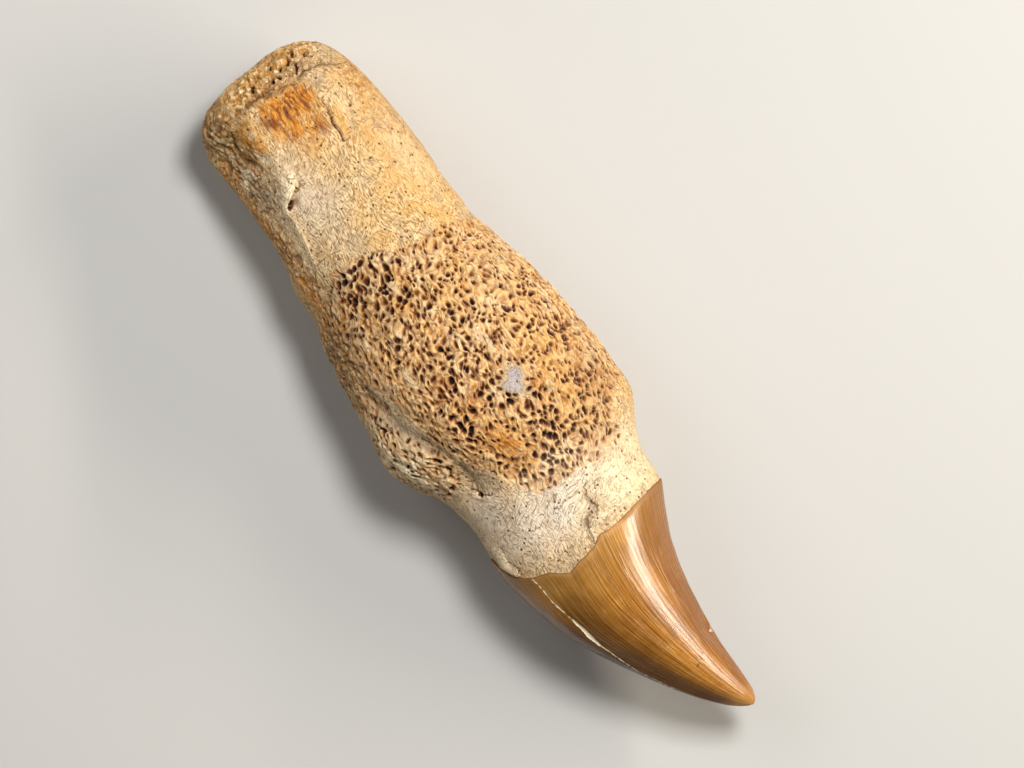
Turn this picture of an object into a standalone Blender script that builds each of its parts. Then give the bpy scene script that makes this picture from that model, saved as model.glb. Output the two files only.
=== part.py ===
"""Fossil mosasaur tooth on its bone, lying on one side.

The bone is a barrel-shaped pedestal of jaw bone: a blunt broken butt, a waist, a spongy barrel and
a pale neck. The crown is the enamelled tooth that stands on the neck. Both are one long form, lofted
between unlike sections, and they part at the ragged margin of the enamel.

Frame: +X runs from the butt to the tip of the crown, +Y to the side that the butt's broader half is on,
+Z up from the surface that the bone lies on. The origin is at the middle of the footprint. Lengths here
are in millimetres until MM turns them to metres, and angles round a section start at +Y and run over
the top.
"""

import math
import random
from typing import NamedTuple

import bmesh
import bpy
from mathutils import Vector

MM = 0.001

# Driving dimensions
LENGTH = 130.0
BUTT_X = -LENGTH / 2
TIP_X = LENGTH / 2
JOINT_GAP = 0.3  # clearance between the crown and the bone
ENAMEL_PROUD = 0.3  # how far the enamel stands above the neck
DOME_X = 31.0  # the top of the neck's dome, which fills the hollow base of the crown
SOCKET_BULGE = 5.0  # how round that dome is

# The rounded ends: how long each is, and how square the butt's is
BUTT_CAP = 12.0
BUTT_SQUARENESS = 3.4
TIP_CAP = 2.6

# The crown's two cutting edges: degrees round the section, and height
KEELS = ((152, 0.4), (4, 0.3))
KEEL_SPREAD = math.radians(9)

# The worn spongy bone of the barrel
SPONGE_START = -31.0
SPONGE_END = 18.0
SPONGE_SUNK = 0.4  # how far it lies below its compact skin
WANDER = 0.3  # how far its points wander from an even grid, along the bone
WANDER_ROUND = math.radians(1.0)  # and round it
RIDGE_HEIGHT = 0.25
PIT_SPACING = 2.2
PIT_DEPTH = 1.25
PIT_FLOOR = 5.0  # no pit starts below this height, so that the rest face stays whole
SEED = 7

# Mesh density: points round the upper side and the underside, and rings along each stretch
UPPER_POINTS = 38
UNDER_POINTS = 18
CAP_RINGS = 6
LEDGE_RINGS = 6
SHAFT_RINGS = 12
SPONGE_RINGS = 38
NECK_RINGS = 5
SOCKET_RINGS = 3
CROWN_RINGS = 14
LEDGE_X = -61.5
SHAFT_X = -56.0


class Section(NamedTuple):
    """A cross-section: its place, its two sides, its underside and top, and how square it is."""

    x: float
    low_y: float
    high_y: float
    under_z: float
    top_z: float
    squareness: float


SECTIONS = (
    Section(-65, -10.4, 15.8, -0.6, 21.5, 2.7),
    Section(-57, -10.9, 16.9, -0.8, 22.4, 2.8),
    Section(-51, -10.8, 17.6, -0.8, 22.8, 2.9),
    Section(-43, -11.1, 17.7, -0.3, 22.6, 2.8),
    Section(-37, -11.9, 17.5, 0.5, 23.0, 2.6),
    Section(-32, -13.5, 16.9, 0.9, 24.0, 2.4),
    Section(-27, -14.2, 16.8, 0.5, 25.4, 2.3),
    Section(-22, -16.0, 17.6, -0.4, 27.2, 2.2),
    Section(-14, -17.7, 19.0, -1.2, 29.6, 2.2),
    Section(-6, -18.7, 19.9, -1.5, 31.2, 2.2),
    Section(0, -19.0, 20.0, -1.5, 31.4, 2.2),
    Section(5, -18.0, 20.0, -1.1, 30.6, 2.2),
    Section(10, -15.8, 19.6, -0.3, 29.3, 2.2),
    Section(13, -15.3, 18.8, 0.7, 28.5, 2.2),
    Section(16, -15.2, 17.2, 1.6, 27.9, 2.2),
    Section(19, -15.6, 15.3, 2.8, 27.3, 2.2),
    Section(22, -16.0, 14.0, 3.7, 27.0, 2.1),
    Section(27, -16.0, 13.4, 4.6, 27.0, 2.0),
    Section(31, -15.3, 10.8, 5.0, 26.6, 2.0),
    Section(37, -14.1, 7.6, 5.6, 25.2, 2.0),
    Section(43, -12.0, 5.7, 6.6, 23.2, 2.0),
    Section(49, -9.2, 4.5, 7.8, 20.8, 2.0),
    Section(55, -6.1, 3.6, 9.0, 18.2, 2.0),
    Section(60, -3.0, 3.4, 10.0, 15.9, 2.0),
    Section(65, 0.6, 3.6, 11.2, 13.8, 2.0),
)

# The enamel's ragged margin: degrees round the section, and its place along X
ENAMEL_MARGIN = (
    (0, 27.5), (20, 27.4), (36, 27.6), (50, 27.8), (60, 28.1), (74, 28.3), (82, 27.8), (91, 28.9),
    (107, 29.2), (119, 29.6), (135, 27.5), (147, 26.6), (158, 25.0), (164, 22.8), (171, 20.4), (184, 20.4),
    (205, 22.8), (232, 26.2), (255, 27.6), (275, 26.2), (296, 27.8), (322, 26.4), (342, 27.2), (360, 27.5),
)


class Facet(NamedTuple):
    """A broken plane that trims the form between two places along X, with a fade at each end."""

    point: tuple
    lean: float
    plan_turn: float
    start: float
    end: float
    fade: float

    def normal(self):
        """Out of the plane: up, leaned over by the lean, towards a direction turned from +X in plan."""
        across = math.sin(self.lean)
        in_plan = (across * math.cos(self.plan_turn), across * math.sin(self.plan_turn))
        return Vector((*in_plan, math.cos(self.lean)))


FACETS = (
    # the broken bevel round the top of the butt
    Facet((-60.0, 4.0, 21.9), math.radians(45), math.radians(171), -70, -50, 1.0),
    # the flank of the shaft, below its long corner
    Facet((-43.0, -5.5, 22.3), math.radians(50), math.radians(254), -56, -32, 5.0),
)


class Lump(NamedTuple):
    """A smooth rise, or with a negative height a hollow, centred on a point of the surface."""

    centre: tuple
    reach: tuple
    height: float


LUMPS = (
    Lump((-1.5, -17.5, 17.0), (6.0, 5.0, 8.0), 1.3),  # the lobe on the barrel's flank
    Lump((-45.6, -4.2, 21.5), (2.8, 1.6, 4.0), 0.7),  # the crumbled flake at the shaft's corner
    Lump((-55.2, -4.6, 20.5), (2.6, 2.2, 4.0), 0.9),  # the stained knot beside the butt
    Lump((-54.0, 4.5, 22.4), (4.0, 5.5, 4.0), -0.7),  # the stained hollow behind the butt's ledge
    Lump((-59.0, 5.0, 22.0), (1.5, 9.0, 4.0), 0.45),  # the ledge
    Lump((13.0, 17.5, 16.0), (2.6, 3.0, 9.0), 0.3),  # the shoulder of the compact skin
    Lump((24.0, -3.0, 27.0), (4.0, 6.5, 5.0), -0.7),  # the worn face of the neck
    Lump((24.5, 8.0, 25.0), (3.0, 5.0, 5.0), 0.4),
    Lump((-40.0, 4.0, 0.0), (8.0, 6.0, 5.0), -0.9),  # hollows and swellings of the underside
    Lump((-18.0, 12.0, 3.0), (7.0, 5.0, 5.0), -0.9),
    Lump((12.0, -9.0, 3.0), (6.0, 4.0, 5.0), 0.7),
    Lump((-30.0, -9.0, 4.0), (6.0, 4.0, 5.0), 0.6),
)


class Groove(NamedTuple):
    """A furrow along a path in plan, on the upper side."""

    path: tuple
    width: float
    depth: float


GROOVES = (
    # between the lobe and the barrel
    Groove(
        ((-11.0, -14.6), (-4.0, -13.0), (-0.5, -11.7), (3.1, -11.0), (6.8, -10.6), (10.5, -11.0)),
        width=1.7,
        depth=1.6,
    ),
    # outside the butt's ledge
    Groove(((-62.0, -4.0), (-61.9, 1.5), (-60.3, 7.0), (-59.9, 12.5), (-58.4, 15.0)), width=0.9, depth=0.7),
    # under the flake on the neck
    Groove(((22.0, 3.6), (22.6, 2.2), (24.4, 2.4), (25.0, 0.4), (26.0, -0.4)), width=1.0, depth=0.6),
    # under the flake at the shaft's corner
    Groove(((-46.0, -1.8), (-44.8, -2.9), (-43.2, -4.9)), width=0.8, depth=0.8),
    # a nick in the crown's edge
    Groove(((50.4, 6.0), (51.2, 3.6)), width=0.9, depth=0.7),
)


def hermite(xs, values, x):
    """A smooth curve through the values, flat where they turn, so that it never overshoots."""
    x = min(max(x, xs[0]), xs[-1])
    k = max(i for i in range(len(xs) - 1) if xs[i] <= x)
    steps = [(values[i + 1] - values[i]) / (xs[i + 1] - xs[i]) for i in range(len(xs) - 1)]

    def tangent(i):
        before, after = steps[max(i - 1, 0)], steps[min(i, len(steps) - 1)]
        return 0.0 if before * after <= 0 else 2 * before * after / (before + after)

    span = xs[k + 1] - xs[k]
    t = (x - xs[k]) / span
    return (
        (2 * t**3 - 3 * t**2 + 1) * values[k]
        + (t**3 - 2 * t**2 + t) * span * tangent(k)
        + (3 * t**2 - 2 * t**3) * values[k + 1]
        + (t**3 - t**2) * span * tangent(k + 1)
    )


def section_at(x):
    """The cross-section at any place along the length."""
    xs = [section.x for section in SECTIONS]
    fields = list(zip(*SECTIONS))[1:]
    return Section(x, *(hermite(xs, values, x) for values in fields))


def middle_of(section):
    """The centre of a section."""
    return Vector((section.x, (section.low_y + section.high_y) / 2, (section.under_z + section.top_z) / 2))


def smooth(edge, inner, value):
    """0 at the edge, 1 at the inner value, and a smooth step between them."""
    t = min(max((value - edge) / (inner - edge), 0.0), 1.0)
    return t * t * (3 - 2 * t)


def end_scale(x):
    """How much of a section is left near the two rounded ends."""
    from_butt = min((x - BUTT_X) / BUTT_CAP, 1.0)
    from_tip = min((TIP_X - x) / TIP_CAP, 1.0)
    at_butt = (1 - (1 - from_butt) ** BUTT_SQUARENESS) ** (1 / BUTT_SQUARENESS)
    return at_butt * math.sqrt(1 - (1 - from_tip) ** 2)


def trimmed(point, out):
    """The point, drawn in along its way out to the facets that it stands beyond."""
    for facet in FACETS:
        normal = facet.normal()
        beyond = (point - Vector(facet.point)).dot(normal)
        facing = out.dot(normal)
        if beyond <= 0 or facing <= 0.2:
            continue
        share = smooth(facet.start - facet.fade, facet.start, point.x)
        share *= 1 - smooth(facet.end, facet.end + facet.fade, point.x)
        point = point - out * beyond / facing * share
    return point


def off_path(path, x, y):
    """The distance in plan from a point to a path."""
    spot = Vector((x, y))
    gaps = []
    for a, b in zip(path, path[1:]):
        a, b = Vector(a), Vector(b)
        share = min(max((spot - a).dot(b - a) / (b - a).length_squared, 0), 1)
        gaps.append((spot - a.lerp(b, share)).length)
    return min(gaps)


def relief(point):
    """How far the lumps raise the surface at a point, less the grooves on the upper side."""
    height = 0.0
    for lump in LUMPS:
        gap = [(p - c) / r for p, c, r in zip(point, lump.centre, lump.reach)]
        height += lump.height * math.exp(-sum(g * g for g in gap))
    if point.z > middle_of(section_at(point.x)).z:
        for groove in GROOVES:
            off = off_path(groove.path, point.x, point.y) / groove.width
            height -= groove.depth * math.exp(-(off**2))
    return height


def in_sponge(x, angle):
    """How surely a place lies in the worn spongy bone, 0 to 1. Its rim wanders round the barrel."""
    start = SPONGE_START + 2.0 + 2.6 * math.cos(angle + 0.5) + 1.2 * math.sin(3 * angle)
    end = SPONGE_END - 3.5 - 3.6 * math.cos(2 * angle + 0.4) + 1.4 * math.sin(3 * angle + 1.0)
    return smooth(start, start + 1.6, x) * (1 - smooth(end - 1.6, end, x))


def surface_point(x, angle, proud=0.0):
    """A finished point of the outer surface. Nothing reaches below the surface that the bone lies on."""
    section = section_at(x)
    out = Vector((0, math.cos(angle), math.sin(angle)))
    half_width, half_height = (section.high_y - section.low_y) / 2, (section.top_z - section.under_z) / 2
    power = section.squareness
    radius = (abs(out.y / half_width) ** power + abs(out.z / half_height) ** power) ** (-1 / power)
    point = trimmed(middle_of(section) + out * radius * end_scale(x), out)
    rise = relief(point) + proud - SPONGE_SUNK * in_sponge(x, angle)
    point = point + out * rise * min(1.0, end_scale(x) * 1.5)
    point.z = max(point.z, 0.0)
    return point


def enamel_margin(angle):
    """Where the enamel ends, along X, at an angle round the section."""
    degrees = math.degrees(angle)
    for (low, low_x), (high, high_x) in zip(ENAMEL_MARGIN, ENAMEL_MARGIN[1:]):
        if low <= degrees <= high:
            return low_x + (high_x - low_x) * (degrees - low) / (high - low)
    raise ValueError("the margin goes once round")


def keel(x, angle):
    """The height of the two cutting edges that run down the crown."""
    height = 0.0
    for degrees, rise in KEELS:
        turn = math.remainder(angle - math.radians(degrees), 2 * math.pi)
        height += rise * math.exp(-((turn / KEEL_SPREAD) ** 2))
    return height * smooth(TIP_X, TIP_X - 8, x) * smooth(28, 33, x)


def steps(start, end, count):
    """Evenly spaced values from just after the start to the end."""
    return [start + (end - start) * (i + 1) / count for i in range(count)]


def angles_round(staggered):
    """Angles round a section, closer on the upper side, and moved on by half a step where staggered."""
    angles = [math.pi * i / UPPER_POINTS for i in range(UPPER_POINTS)]
    angles += [math.pi + math.pi * i / UNDER_POINTS for i in range(UNDER_POINTS)]
    if not staggered:
        return angles
    return [(angle + following) / 2 for angle, following in zip(angles, angles[1:] + [2 * math.pi])]


class Ring(NamedTuple):
    """Points round a section. Every second ring is staggered, so that the rings join in even triangles."""

    staggered: bool
    points: list


def lofted(rings, first_pole, last_pole):
    """A closed body through the rings, with a pole at each end."""
    bm = bmesh.new()
    loops = [[bm.verts.new(point) for point in ring.points] for ring in rings]
    count = len(loops[0])
    for (near_ring, near), (far_ring, far) in zip(zip(rings, loops), zip(rings[1:], loops[1:])):
        for i in range(count):
            j = (i + 1) % count
            if near_ring.staggered:
                bm.faces.new((near[i], far[j], far[i]))
                bm.faces.new((near[i], near[j], far[j]))
            else:
                bm.faces.new((near[i], near[j], far[i]))
                bm.faces.new((near[j], far[j], far[i]))
    for loop, pole in ((loops[0], first_pole), (loops[-1], last_pole)):
        tip = bm.verts.new(pole)
        for i in range(count):
            bm.faces.new((loop[i], loop[(i + 1) % count], tip))
    bmesh.ops.recalc_face_normals(bm, faces=bm.faces)
    return bm


def as_object(name, bm, material):
    """The body as an object in metres, smooth but for its broken edges."""
    bmesh.ops.scale(bm, vec=(MM, MM, MM), verts=bm.verts)
    mesh = bpy.data.meshes.new(name)
    bm.to_mesh(mesh)
    bm.free()
    mesh.shade_smooth()
    mesh.set_sharp_from_angle(angle=math.radians(45))
    mesh.materials.append(material)
    return bpy.data.objects.new(name, mesh)


def socket_rings(rim, middle):
    """Rings that close the joint, from its rim to the middle of its dome."""
    rings = []
    for i in range(1, SOCKET_RINGS + 1):
        share = i / (SOCKET_RINGS + 1)
        bulge = Vector((share * (1 - share) * SOCKET_BULGE, 0, 0))
        rings.append(Ring(False, [point.lerp(middle, share) + bulge for point in rim.points]))
    return rings


def dome_middle(shift):
    """The middle of the neck's dome, where the joint's rings meet."""
    return middle_of(section_at(ENAMEL_MARGIN[0][1])) + Vector((DOME_X + shift - ENAMEL_MARGIN[0][1], 0, 0))


def sponge_ring(x, staggered, pits, draw):
    """A ring of the barrel. Its points wander, and some are pressed in as pits and added to pits."""
    points = []
    for angle in angles_round(staggered):
        share = in_sponge(x, angle)
        along, turn = draw.uniform(-WANDER, WANDER), draw.uniform(-WANDER_ROUND, WANDER_ROUND)
        point = surface_point(x + along * share, angle + turn * share, draw.uniform(0, RIDGE_HEIGHT) * share)
        if share > 0.9 and point.z > PIT_FLOOR and all((point - pit).length > PIT_SPACING for pit in pits):
            pits.append(point)
            inward = -Vector((0, math.cos(angle), math.sin(angle)))
            point = point + inward * PIT_DEPTH * draw.uniform(0.6, 1.0)
        points.append(point)
    return Ring(staggered, points)


def bone_object():
    """The pedestal of bone, from its broken butt to the dome under the crown."""
    draw = random.Random(SEED)
    cap_end = math.acos(1 - (LEDGE_X - BUTT_X) / BUTT_CAP)
    stations = [BUTT_X + BUTT_CAP * (1 - math.cos(turn)) for turn in steps(0.0, cap_end, CAP_RINGS)]
    stations += steps(LEDGE_X, SHAFT_X, LEDGE_RINGS) + steps(SHAFT_X, SPONGE_START, SHAFT_RINGS)
    rings = []
    for x in stations:
        staggered = len(rings) % 2 == 1
        rings.append(Ring(staggered, [surface_point(x, angle) for angle in angles_round(staggered)]))
    pits = []
    for x in steps(SPONGE_START, SPONGE_END, SPONGE_RINGS):
        rings.append(sponge_ring(x, len(rings) % 2 == 1, pits, draw))
    for share in steps(0.0, 1.0, NECK_RINGS):
        staggered = len(rings) % 2 == 1
        points = []
        for angle in angles_round(staggered):
            neck_end = enamel_margin(angle) - JOINT_GAP
            points.append(surface_point(SPONGE_END + (neck_end - SPONGE_END) * share, angle))
        rings.append(Ring(staggered, points))
    rings += socket_rings(rings[-1], dome_middle(-JOINT_GAP))
    bm = lofted(rings, middle_of(section_at(BUTT_X)), dome_middle(-JOINT_GAP))
    return as_object("root_bone", bm, mineral("fossil_bone", (0.56, 0.37, 0.18), 0.85, 0.3))


def crown_object():
    """The enamelled crown, hollow at its base where it sits on the neck's dome."""
    rings = []
    for turn in [0.0] + steps(0.0, math.pi / 2, CROWN_RINGS)[:-1]:
        staggered = len(rings) % 2 == 1
        points = []
        for angle in angles_round(staggered):
            margin = enamel_margin(angle)
            x = margin + (TIP_X - margin) * math.sin(turn)
            proud = ENAMEL_PROUD * smooth(TIP_X, TIP_X - 6, x) + keel(x, angle)
            points.append(surface_point(x, angle, proud))
        rings.append(Ring(staggered, points))
    base = list(reversed(socket_rings(rings[0], dome_middle(0.0))))
    bm = lofted(base + rings, dome_middle(0.0), middle_of(section_at(TIP_X)))
    return as_object("tooth_crown", bm, mineral("fossil_enamel", (0.36, 0.16, 0.045), 0.25, 0.5))


def mineral(name, colour, roughness, specular):
    """A plain finish for a mineral surface."""
    material = bpy.data.materials.new(name)
    material.use_nodes = True
    shader = material.node_tree.nodes["Principled BSDF"]
    shader.inputs["Base Color"].default_value = (*colour, 1.0)
    shader.inputs["Roughness"].default_value = roughness
    shader.inputs["Specular IOR Level"].default_value = specular
    shader.inputs["Metallic"].default_value = 0.0
    return material


def centre_together(pieces):
    """Moves the pieces' meshes together, so that the origin is under the middle of their common box."""
    points = [vertex.co for piece in pieces for vertex in piece.data.vertices]
    low = Vector(min(point[axis] for point in points) for axis in range(3))
    high = Vector(max(point[axis] for point in points) for axis in range(3))
    shift = Vector((-(low.x + high.x) / 2, -(low.y + high.y) / 2, -low.z))
    for piece in pieces:
        for vertex in piece.data.vertices:
            vertex.co += shift


def main():
    for obj in list(bpy.data.objects):
        bpy.data.objects.remove(obj)
    collection = bpy.data.collections.new("mosasaur_tooth_on_bone")
    bpy.context.scene.collection.children.link(collection)
    pieces = [bone_object(), crown_object()]
    centre_together(pieces)
    for piece in pieces:
        collection.objects.link(piece)


main()
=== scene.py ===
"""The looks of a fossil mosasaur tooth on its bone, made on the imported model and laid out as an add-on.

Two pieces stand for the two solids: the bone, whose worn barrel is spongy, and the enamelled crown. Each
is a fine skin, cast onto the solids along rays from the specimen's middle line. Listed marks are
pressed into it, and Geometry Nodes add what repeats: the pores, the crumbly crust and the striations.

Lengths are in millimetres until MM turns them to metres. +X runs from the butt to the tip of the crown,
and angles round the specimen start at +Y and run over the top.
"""

import math
from typing import NamedTuple

import bmesh
import bpy
import numpy as np
from mathutils import Matrix, Vector
from mathutils.bvhtree import BVHTree


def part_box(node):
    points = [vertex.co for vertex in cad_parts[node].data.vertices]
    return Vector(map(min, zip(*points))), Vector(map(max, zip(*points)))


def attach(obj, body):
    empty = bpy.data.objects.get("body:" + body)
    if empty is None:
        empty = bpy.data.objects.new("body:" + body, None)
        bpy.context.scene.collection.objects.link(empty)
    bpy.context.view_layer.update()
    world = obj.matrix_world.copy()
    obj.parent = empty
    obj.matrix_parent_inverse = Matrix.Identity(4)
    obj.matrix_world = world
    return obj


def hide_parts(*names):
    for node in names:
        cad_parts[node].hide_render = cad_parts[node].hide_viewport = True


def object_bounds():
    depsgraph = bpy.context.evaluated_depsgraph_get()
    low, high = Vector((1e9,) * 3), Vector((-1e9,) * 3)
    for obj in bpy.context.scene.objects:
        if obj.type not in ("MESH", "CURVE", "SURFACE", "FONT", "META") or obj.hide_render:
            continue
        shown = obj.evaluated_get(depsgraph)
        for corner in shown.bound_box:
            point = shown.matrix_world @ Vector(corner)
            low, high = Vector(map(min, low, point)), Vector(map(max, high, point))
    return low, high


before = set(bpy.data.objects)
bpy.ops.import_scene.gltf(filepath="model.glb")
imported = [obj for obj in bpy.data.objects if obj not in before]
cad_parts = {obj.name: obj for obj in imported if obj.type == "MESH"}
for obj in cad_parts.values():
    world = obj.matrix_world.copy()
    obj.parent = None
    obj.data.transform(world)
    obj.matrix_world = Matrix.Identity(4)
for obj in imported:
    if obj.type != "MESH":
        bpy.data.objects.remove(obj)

bl_info = {
    "name": "Fossil tooth on bone",
    "version": (1, 0, 0),
    "blender": (4, 5, 0),
    "location": "3D View > Sidebar > Fossil",
    "description": "Dresses a packed fossil tooth with spongy bone and striated enamel",
    "category": "Object",
}

MM = 0.001
CAD_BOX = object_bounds()
LOW, HIGH = (corner / MM for corner in CAD_BOX)
BONE, CROWN = "root_bone", "tooth_crown"
DOME_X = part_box(BONE)[1].x / MM  # the top of the neck's dome, inside the crown's base

# Where the stretches of the bone's skin begin along X: the shaft, the spongy barrel and the neck
SHAFT_X = -54.0
BARREL_X = -32.0
NECK_X = 19.0
# How far apart the rings of the skin are on each stretch, and how many points go round
BUTT_STEP = 0.47
SHAFT_STEP = 0.42
BARREL_STEP = 0.27
NECK_STEP = 0.33
BUTT_RADIUS = 17.0  # about how far its corner is from the middle line, to count its rings
NECK_END_X = 28.0  # about where the neck ends, for the same
BONE_POINTS = 300
CROWN_POINTS = 520
CROWN_RINGS = 84
# How close together the points stand beneath, as a share of how close they stand on the upper side
BONE_BENEATH = 0.28
CROWN_BENEATH = 0.6

ENAMEL_PROUD = 0.3  # how far the solid's enamel stands above its neck
TUCK = 0.9  # how far the bone's skin runs on under the enamel
JOINT = (-0.45, 0.1)  # past the enamel's margin by this, rays fall into the gap between the solids
POLE_GAP = 0.3  # how far the two skins stay off the dome's top, one below it and one above
TIP_RADIUS = 0.08  # the crown's radius at its tip, where rays find nothing
OUTSIDE = 60.0  # rays start this far from the middle line
JUST_INSIDE = 0.9999  # the pieces stay in this share of the solids' box
FAR = 9.0  # stands for the distance of a place that no mark is near


def smooth(edge, inner, value):
    """0 at the edge, 1 at the inner value, and a smooth step between them."""
    t = np.clip((value - edge) / (inner - edge), 0.0, 1.0)
    return t * t * (3 - 2 * t)


def linear(code):
    """A linear colour with alpha from an sRGB hex code."""
    parts = [int(code[i : i + 2], 16) / 255 for i in (1, 3, 5)]
    return (*(p / 12.92 if p <= 0.04045 else ((p + 0.055) / 1.055) ** 2.4 for p in parts), 1.0)


# ---------------------------------------------------------------- casting the skins onto the solids


def solid_tree(*names):
    """A tree for rays of the named solids, in millimetres, from merged copies of their loose triangles."""
    bm = bmesh.new()
    for name in names:
        bm.from_mesh(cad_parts[name].data)
    bmesh.ops.remove_doubles(bm, verts=bm.verts, dist=1e-6)
    bmesh.ops.scale(bm, vec=(1 / MM,) * 3, verts=bm.verts)
    tree = BVHTree.FromBMesh(bm)
    bm.free()
    return tree


# The middle line is found at these places along X: closer together where the crown's tip narrows
LINE_X = np.concatenate([np.arange(SHAFT_X, 63.0, 1.0), [63.4, 63.8, 64.2, 64.6]])
MIDDLE_GUESS = (3.0, 11.0)  # its Y and Z, near enough at the shaft to start from
LINE_TRIES = 3
UNSMOOTHED = (50.0, 58.0)  # its smoothing dies away between these places along X
# The enamel starts between these places along X, and halving finds it to 0.01 mm
MARGIN_BETWEEN = (15.0, 36.0)
HALVINGS = 11


def ways_round(angles):
    """The directions at those angles, straight out from the middle line."""
    return np.stack([np.zeros_like(angles), np.cos(angles), np.sin(angles)], axis=-1)


class Caster:
    """Finds the specimen's middle line, and the distance from it to the surface."""

    def __init__(self):
        self.whole = solid_tree(BONE, CROWN)
        self.crown = solid_tree(CROWN)
        line = []
        y, z = MIDDLE_GUESS
        for x in LINE_X:
            for _ in range(LINE_TRIES):
                low = self.whole.ray_cast((x, -OUTSIDE, z), (0, 1, 0))[0]
                high = self.whole.ray_cast((x, OUTSIDE, z), (0, -1, 0))[0]
                y = (low.y + high.y) / 2
                under = self.whole.ray_cast((x, y, -OUTSIDE), (0, 0, 1))[0]
                over = self.whole.ray_cast((x, y, OUTSIDE), (0, 0, -1))[0]
                z = (under.z + over.z) / 2
            line.append((y, z))
        self.line = np.array(line)
        kernel = np.array([1, 2, 3, 2, 1]) / 9
        share = smooth(UNSMOOTHED[1], UNSMOOTHED[0], LINE_X)
        for axis in (0, 1):
            found = self.line[:, axis]
            softened = np.convolve(np.pad(found, 2, mode="edge"), kernel, mode="valid")
            self.line[:, axis] = softened * share + found * (1 - share)

    def middle(self, x):
        """The middle line at x, as points."""
        x = np.asarray(x, float)
        y, z = (np.interp(x, LINE_X, self.line[:, axis]) for axis in (0, 1))
        return np.stack([x, y, z], axis=-1)

    def reach(self, tree, start, way):
        """How far the tree's outermost surface is from each start, each along its way. NaN where none is."""
        found = np.full(len(start), np.nan)
        for i, (a, d) in enumerate(zip(start, way)):
            hit = tree.ray_cast(Vector(a + d * OUTSIDE), Vector(-d), OUTSIDE)
            if hit[0] is not None:
                found[i] = OUTSIDE - hit[3]
        return found

    def margin(self, angles):
        """Where the solid crown's enamel starts along X, at each angle."""
        way = ways_round(angles)
        low, high = (np.full(len(angles), x) for x in MARGIN_BETWEEN)
        for _ in range(HALVINGS):
            x = (low + high) / 2
            bare = np.isnan(self.reach(self.crown, self.middle(x), way))
            low, high = np.where(bare, x, low), np.where(bare, high, x)
        return high


def angles_round(count, beneath):
    """Angles round the specimen, close together on the upper side, and that share as close beneath."""
    fine = np.radians(np.arange(0.0, 361.0, 1.0))
    off_lowest = np.abs(np.degrees(fine) - 270.0)
    share = beneath + (1 - beneath) * smooth(62.0, 84.0, off_lowest)
    run = np.concatenate([[0.0], np.cumsum((share[1:] + share[:-1]) / 2)])
    return np.interp(np.arange(count) / count * run[-1], run, fine)


def shifted(field, axis, reach):
    """The field moved by each step within reach along an axis. Its rings end, and its points run round."""
    pad = [(reach, reach) if a == axis else (0, 0) for a in (0, 1)]
    padded = np.pad(field, pad, mode="wrap" if axis == 1 else "edge")
    size = field.shape[axis]
    return [padded.take(range(k, k + size), axis=axis) for k in range(2 * reach + 1)]


def blurred(field, across, along):
    """The field of rings by points, blurred by that many rings and that many points."""
    for axis, width in ((0, across), (1, along)):
        reach = math.ceil(width * 2.5)
        weights = np.exp(-0.5 * (np.arange(-reach, reach + 1) / width) ** 2)
        field = sum(w * moved for w, moved in zip(weights, shifted(field, axis, reach))) / weights.sum()
    return field


def extreme(field, reach, pick):
    """Each place's largest or smallest neighbour within reach, by rings and by points."""
    for axis in (0, 1):
        field = pick.reduce(shifted(field, axis, reach))
    return field


def spans(start, end, step):
    """Evenly spaced values from the start to just before the end."""
    count = max(1, round((end - start) / step))
    return [start + (end - start) * i / count for i in range(count)]


def skin_mesh(name, rings, first_pole, last_pole):
    """A closed smooth mesh in metres through rings of points, with a pole at each end. Points in mm."""
    rows, count = rings.shape[:2]
    points = np.concatenate([rings.reshape(-1, 3), [first_pole, last_pole]]) * MM
    index = np.arange(rows * count).reshape(rows, count)
    turned = np.roll(index, -1, axis=1)
    quads = np.stack([index[:-1], turned[:-1], turned[1:], index[1:]], axis=-1).reshape(-1, 4)
    first = [(rows * count, turned[0, i], index[0, i]) for i in range(count)]
    last = [(rows * count + 1, index[-1, i], turned[-1, i]) for i in range(count)]
    mesh = bpy.data.meshes.new(name)
    mesh.from_pydata(points.tolist(), [], quads.tolist() + first + last)
    bm = bmesh.new()
    bm.from_mesh(mesh)
    if bm.calc_volume(signed=True) < 0:
        bmesh.ops.reverse_faces(bm, faces=bm.faces)
    bm.to_mesh(mesh)
    bm.free()
    mesh.shade_smooth()
    return mesh


def positions(mesh):
    """The mesh's points in mm."""
    flat = np.zeros(len(mesh.vertices) * 3)
    mesh.vertices.foreach_get("co", flat)
    return flat.reshape(-1, 3) / MM


def normals(mesh):
    """The mesh's normals at its points."""
    flat = np.zeros(len(mesh.vertices) * 3)
    mesh.vertex_normals.foreach_get("vector", flat)
    return flat.reshape(-1, 3)


def set_positions(mesh, points):
    """Moves the mesh's points, in mm. None goes below the surface that the specimen lies on."""
    points[:, 2] = np.maximum(points[:, 2], 0.0)
    mesh.vertices.foreach_set("co", (points * MM).ravel())
    mesh.update()


def store(mesh, name, values):
    """Keeps a number or a vector for each point, for the node trees to read."""
    kind, key = ("FLOAT", "value") if values.ndim == 1 else ("FLOAT_VECTOR", "vector")
    attribute = mesh.attributes.new(name, kind, "POINT")
    attribute.data.foreach_set(key, values.astype(np.float32).ravel())


# ---------------------------------------------------------------- marks listed one by one

# Plan positions of marks are given at this height, as seen from straight above at the camera's distance
MARK_HEIGHT = 14.0
CAMERA_FOOT = (0.8, 4.4)
CAMERA_HEIGHT = 924.0


def in_plan(points):
    """Where points are in plan at the marks' height, seen from the camera's place."""
    foot = np.array(CAMERA_FOOT)
    share = (CAMERA_HEIGHT - MARK_HEIGHT) / (CAMERA_HEIGHT - points[:, 2:3])
    return foot + (points[:, :2] - foot) * share


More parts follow.
